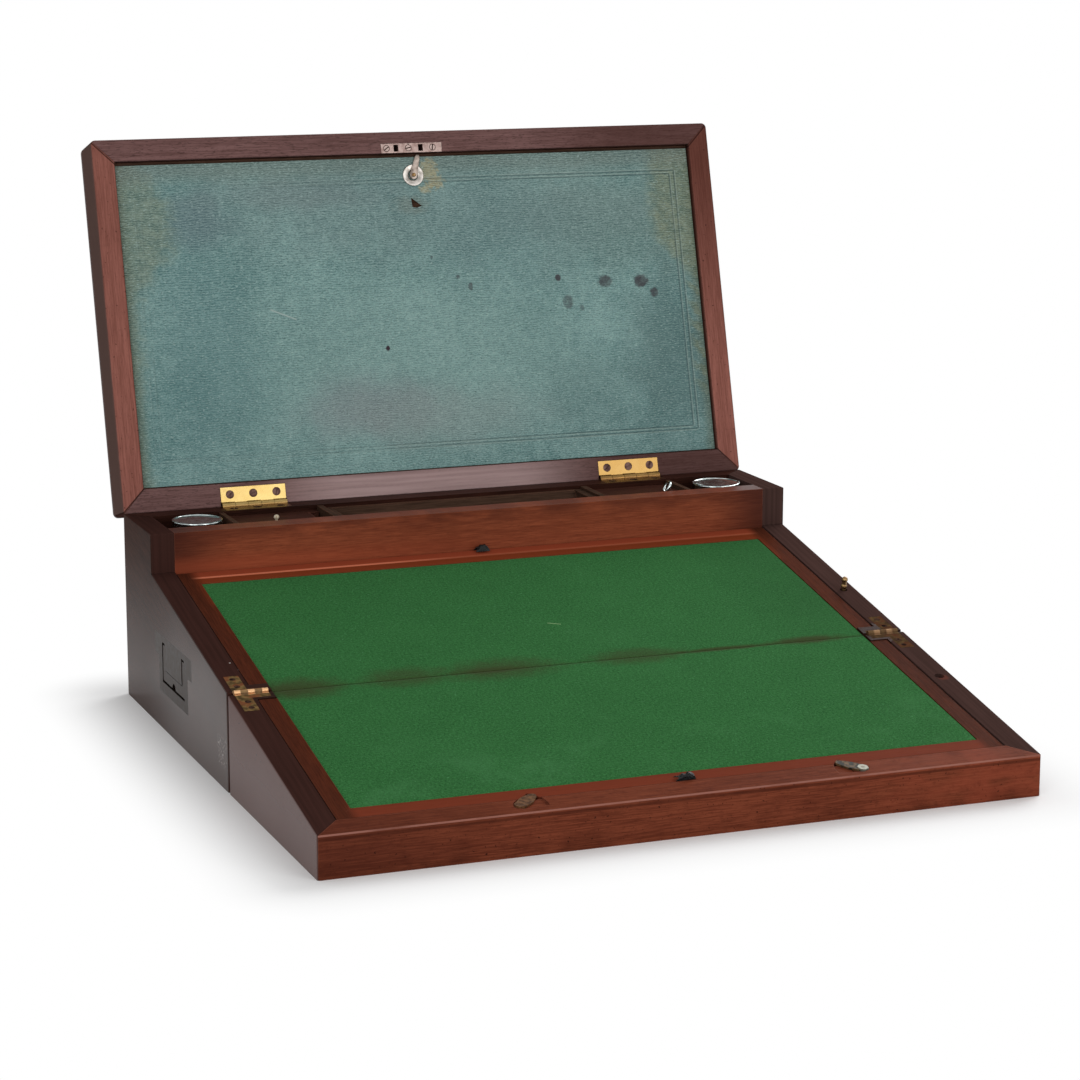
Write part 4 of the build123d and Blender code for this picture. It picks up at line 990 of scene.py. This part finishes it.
def ink_cap(side, x, y):
    """A plated screw cap: ringed wall, rolled rim and a shallow sunk top."""
    node = side + "_ink_cap"
    piece = turned(side + "_plated_cap", cap_rings, 96)
    settled(piece, Matrix.Translation((x * mm, y * mm, 0)), node, "silver", "silver", node)


ink_cap("left", -186.5, 93)
ink_cap("right", 192.4, 89.5)


# ---- well covers --------------------------------------------------------------------------
def part_of(node, name, keep):
    """A copy of the faces of a CAD node that pass a test, open for shaping."""
    piece = frame["nodes"][node].copy()
    piece.data = piece.data.copy()
    piece.name = name
    for key in list(piece.keys()):
        del piece[key]
    bpy.context.collection.objects.link(piece)
    held(piece)
    bpy.ops.object.mode_set(mode="EDIT")
    bpy.ops.mesh.select_all(action="SELECT")
    bpy.ops.mesh.remove_doubles(threshold=0.01 * mm)
    pick(lambda at: not keep(at))
    bpy.ops.mesh.delete(type="FACE")
    return piece


cover_top = 121.4 * mm


def cover_board(side):
    """A cover's own board, without its plain knob or loop."""
    body = side + "_cover"
    piece = part_of(body, side + "_cover_lid", lambda at: at.z < cover_top + 0.02 * mm)
    settled(piece, upright, body, "cover", "cover_wood", body)


cover_board("left")
cover_board("right")

knob_rings = [(1.5, 121.2), (1.5, 121.6), (1.0, 121.9), (0.8, 122.6), (1.1, 123.0), (1.6, 123.4),
              (1.85, 124.0), (1.85, 124.6), (1.6, 125.2), (1.1, 125.7), (0.4, 125.95)]
knob = turned("left_cover_knob", knob_rings, 24)
settled(knob, Matrix.Translation((-134 * mm, 84 * mm, 0)), "left_cover", "bone", "cover_wood")


def lifting_loop():
    """A silver wire bow standing on the right cover, cut off at its feet."""
    clear()
    bpy.ops.mesh.primitive_torus_add(major_radius=4.3 * mm, minor_radius=0.75 * mm,
                                     major_segments=48, minor_segments=12)
    bow = began("right_cover_bow")
    bpy.ops.mesh.bisect(plane_co=(0, -3.4 * mm, 0), plane_no=(0, 1, 0), clear_inner=True,
                        use_fill=True)
    bpy.ops.mesh.select_all(action="SELECT")
    bpy.ops.transform.resize(value=(0.9, 0.95, 1.3), center_override=(0, 0, 0))
    bpy.ops.object.mode_set(mode="OBJECT")
    stand = Matrix.Rotation(radians(58), 4, "X")
    aside = Matrix.Rotation(radians(-98), 4, "Z")
    place = Matrix.Translation((154 * mm, 88 * mm, cover_top + 2.64 * mm)) @ aside @ stand
    settled(bow, place, "right_cover", "silver", "silver")


lifting_loop()


# ---- panel catch --------------------------------------------------------------------------
catch_axis = Vector(joints["panel_catch_turn"]["pos_m"])
catch_place = placed(catch_axis, lid_out)

rose_rings = [(3.6, -3.7), (7.5, -3.7), (7.6, -3.5), (7.6, -2.8), (7.35, -2.5), (4.4, -2.55),
              (4.0, -2.8), (3.6, -2.9), (3.6, -3.7)]
rose = turned("catch_washer", rose_rings, 64, bored=True)
settled(rose, catch_place, "lid_panel", "rose_steel", "link_steel", "catch_rose")

tongue_plan = [(-3.0, 0.6), (-2.75, 1.2), (-2.3, 1.9), (-1.5, 2.5), (-0.5, 2.8), (1.0, 2.8),
               (3.0, 2.5), (12.8, 1.8), (13.8, 1.55), (14.5, 1.1), (14.9, 0.5)]


def panel_tongue():
    """The panel catch's tongue: a pressed channel on a riveted stem."""
    tongue = drawn("pressed_tongue", tongue_plan, -2.3, -1.0)
    pick(lambda at: at.z > -1.01 * mm)
    bpy.ops.mesh.inset(thickness=0.6 * mm)
    bpy.ops.transform.translate(value=(0, 0, -0.55 * mm))
    worked(tongue, "BEVEL", width=0.15 * mm, segments=2, limit_method="ANGLE",
           angle_limit=radians(40))
    leant = catch_place @ Matrix.Rotation(radians(-17), 4, "Z")
    settled(tongue, leant, "panel_catch", "tongue_steel", "brass_aged", "panel_catch")
    stem_rings = [(1.5, -8.6), (1.5, -1.7), (1.5, -1.2), (1.2, -0.8), (0.7, -0.6), (0.2, -0.55)]
    stem = turned("tongue_stem", stem_rings, 24)
    settled(stem, leant, "panel_catch", "old_brass", "brass_aged")


panel_tongue()


# ---- floor, light and camera --------------------------------------------------------------
floor_size = 60.0
surround = 0.5              # strength of the light from all round
shade_run = -0.09           # middle of the floor's shaded place along Y, and half its length
shade_half = 0.22
sensor = 36.0               # mm
focal_pixels = 3076.29
frame_pixels = 1080


def eye_or_mirror(tree):
    """1 for rays from the eye and for rays that metal or glass sends on, 0 for others."""
    path = tree.nodes.new("ShaderNodeLightPath")
    chain = path.outputs["Is Camera Ray"]
    for ray in ("Is Glossy Ray", "Is Transmission Ray"):
        either = tree.nodes.new("ShaderNodeMath")
        either.operation = "MAXIMUM"
        tree.links.new(chain, either.inputs[0])
        tree.links.new(path.outputs[ray], either.inputs[1])
        chain = either.outputs[0]
    return chain


def make_floor():
    """A wide white floor; away from the object its light is its own, so that it stays white."""
    bpy.ops.mesh.primitive_plane_add(size=floor_size, location=(0, 0, 0))
    floor = bpy.context.object
    floor.name = "floor"
    r = Recipe("white_floor")
    r.colour = (0.95, 0.95, 0.95)
    r.finished(1.0, Specular_IOR_Level=0.0)
    beside = (abs(r.x) - case_half).math("MAXIMUM", 0.0)
    before = (abs(r.u - shade_run) - shade_half).math("MAXIMUM", 0.0)
    away = (beside * beside + before * before) ** 0.5
    share = away.step(-0.01, 0.07)
    seen = Wire(r, eye_or_mirror(r.tree))
    glow = r.node("Emission", {}, {"Strength": 1.0})
    blend = r.node("MixShader", {}, {0: share * seen, 1: Wire(r, r.shader.outputs[0]), 2: glow})
    r.feed(r.tree.nodes["Material Output"].inputs["Surface"], blend)
    floor.data.materials.append(r.finish)


def make_world():
    """White surround for the eye and for reflections, plainer for the light that it gives."""
    world = bpy.data.worlds.new("studio")
    bpy.context.scene.world = world
    world.use_nodes = True
    tree = world.node_tree
    lit = tree.nodes["Background"]
    lit.inputs["Strength"].default_value = surround
    lit.inputs["Color"].default_value = (1, 1, 1, 1)
    seen = tree.nodes.new("ShaderNodeBackground")
    seen.inputs["Strength"].default_value = 1.0
    seen.inputs["Color"].default_value = (1, 1, 1, 1)
    blend = tree.nodes.new("ShaderNodeMixShader")
    tree.links.new(eye_or_mirror(tree), blend.inputs[0])
    tree.links.new(lit.outputs[0], blend.inputs[1])
    tree.links.new(seen.outputs[0], blend.inputs[2])
    tree.links.new(blend.outputs[0], tree.nodes["World Output"].inputs["Surface"])


def lamp(name, place, target, size, watts):
    """Soft square lamp aimed at a point."""
    bpy.ops.object.light_add(type="AREA", location=place)
    light = bpy.context.object
    light.name = name
    light.data.size = size
    light.data.energy = watts
    aim = Vector(target) - Vector(place)
    light.rotation_mode = "QUATERNION"
    light.rotation_quaternion = aim.to_track_quat("-Z", "Y")


def make_camera():
    """The eye stands to the left of the writer's place and looks slightly down."""
    bpy.ops.object.camera_add(location=(-0.70239, -1.86994, 0.53484))
    camera = bpy.context.object
    turn, tilt, roll = radians(21.214), radians(11.874), radians(0.03)
    ahead = Vector((sin(turn) * cos(tilt), cos(turn) * cos(tilt), -sin(tilt)))
    camera.rotation_mode = "QUATERNION"
    camera.rotation_quaternion = (ahead.to_track_quat("-Z", "Y")
                                  @ Matrix.Rotation(roll, 3, "Z").to_quaternion())
    camera.data.sensor_width = sensor
    camera.data.lens = focal_pixels * sensor / frame_pixels
    bpy.context.scene.camera = camera


make_floor()
make_world()
lamp("left_lamp", (-1.5, -1.9, 1.0), (0, 0, 0.1), 1.4, 13)
lamp("front_lamp", (0.78, -1.83, 0.78), (0, 0, 0.2), 1.0, 7.5)
lamp("right_lamp", (1.6, 0.9, 1.3), (0, 0, 0.0), 1.4, 30)
make_camera()
bpy.context.scene.view_settings.view_transform = "Standard"
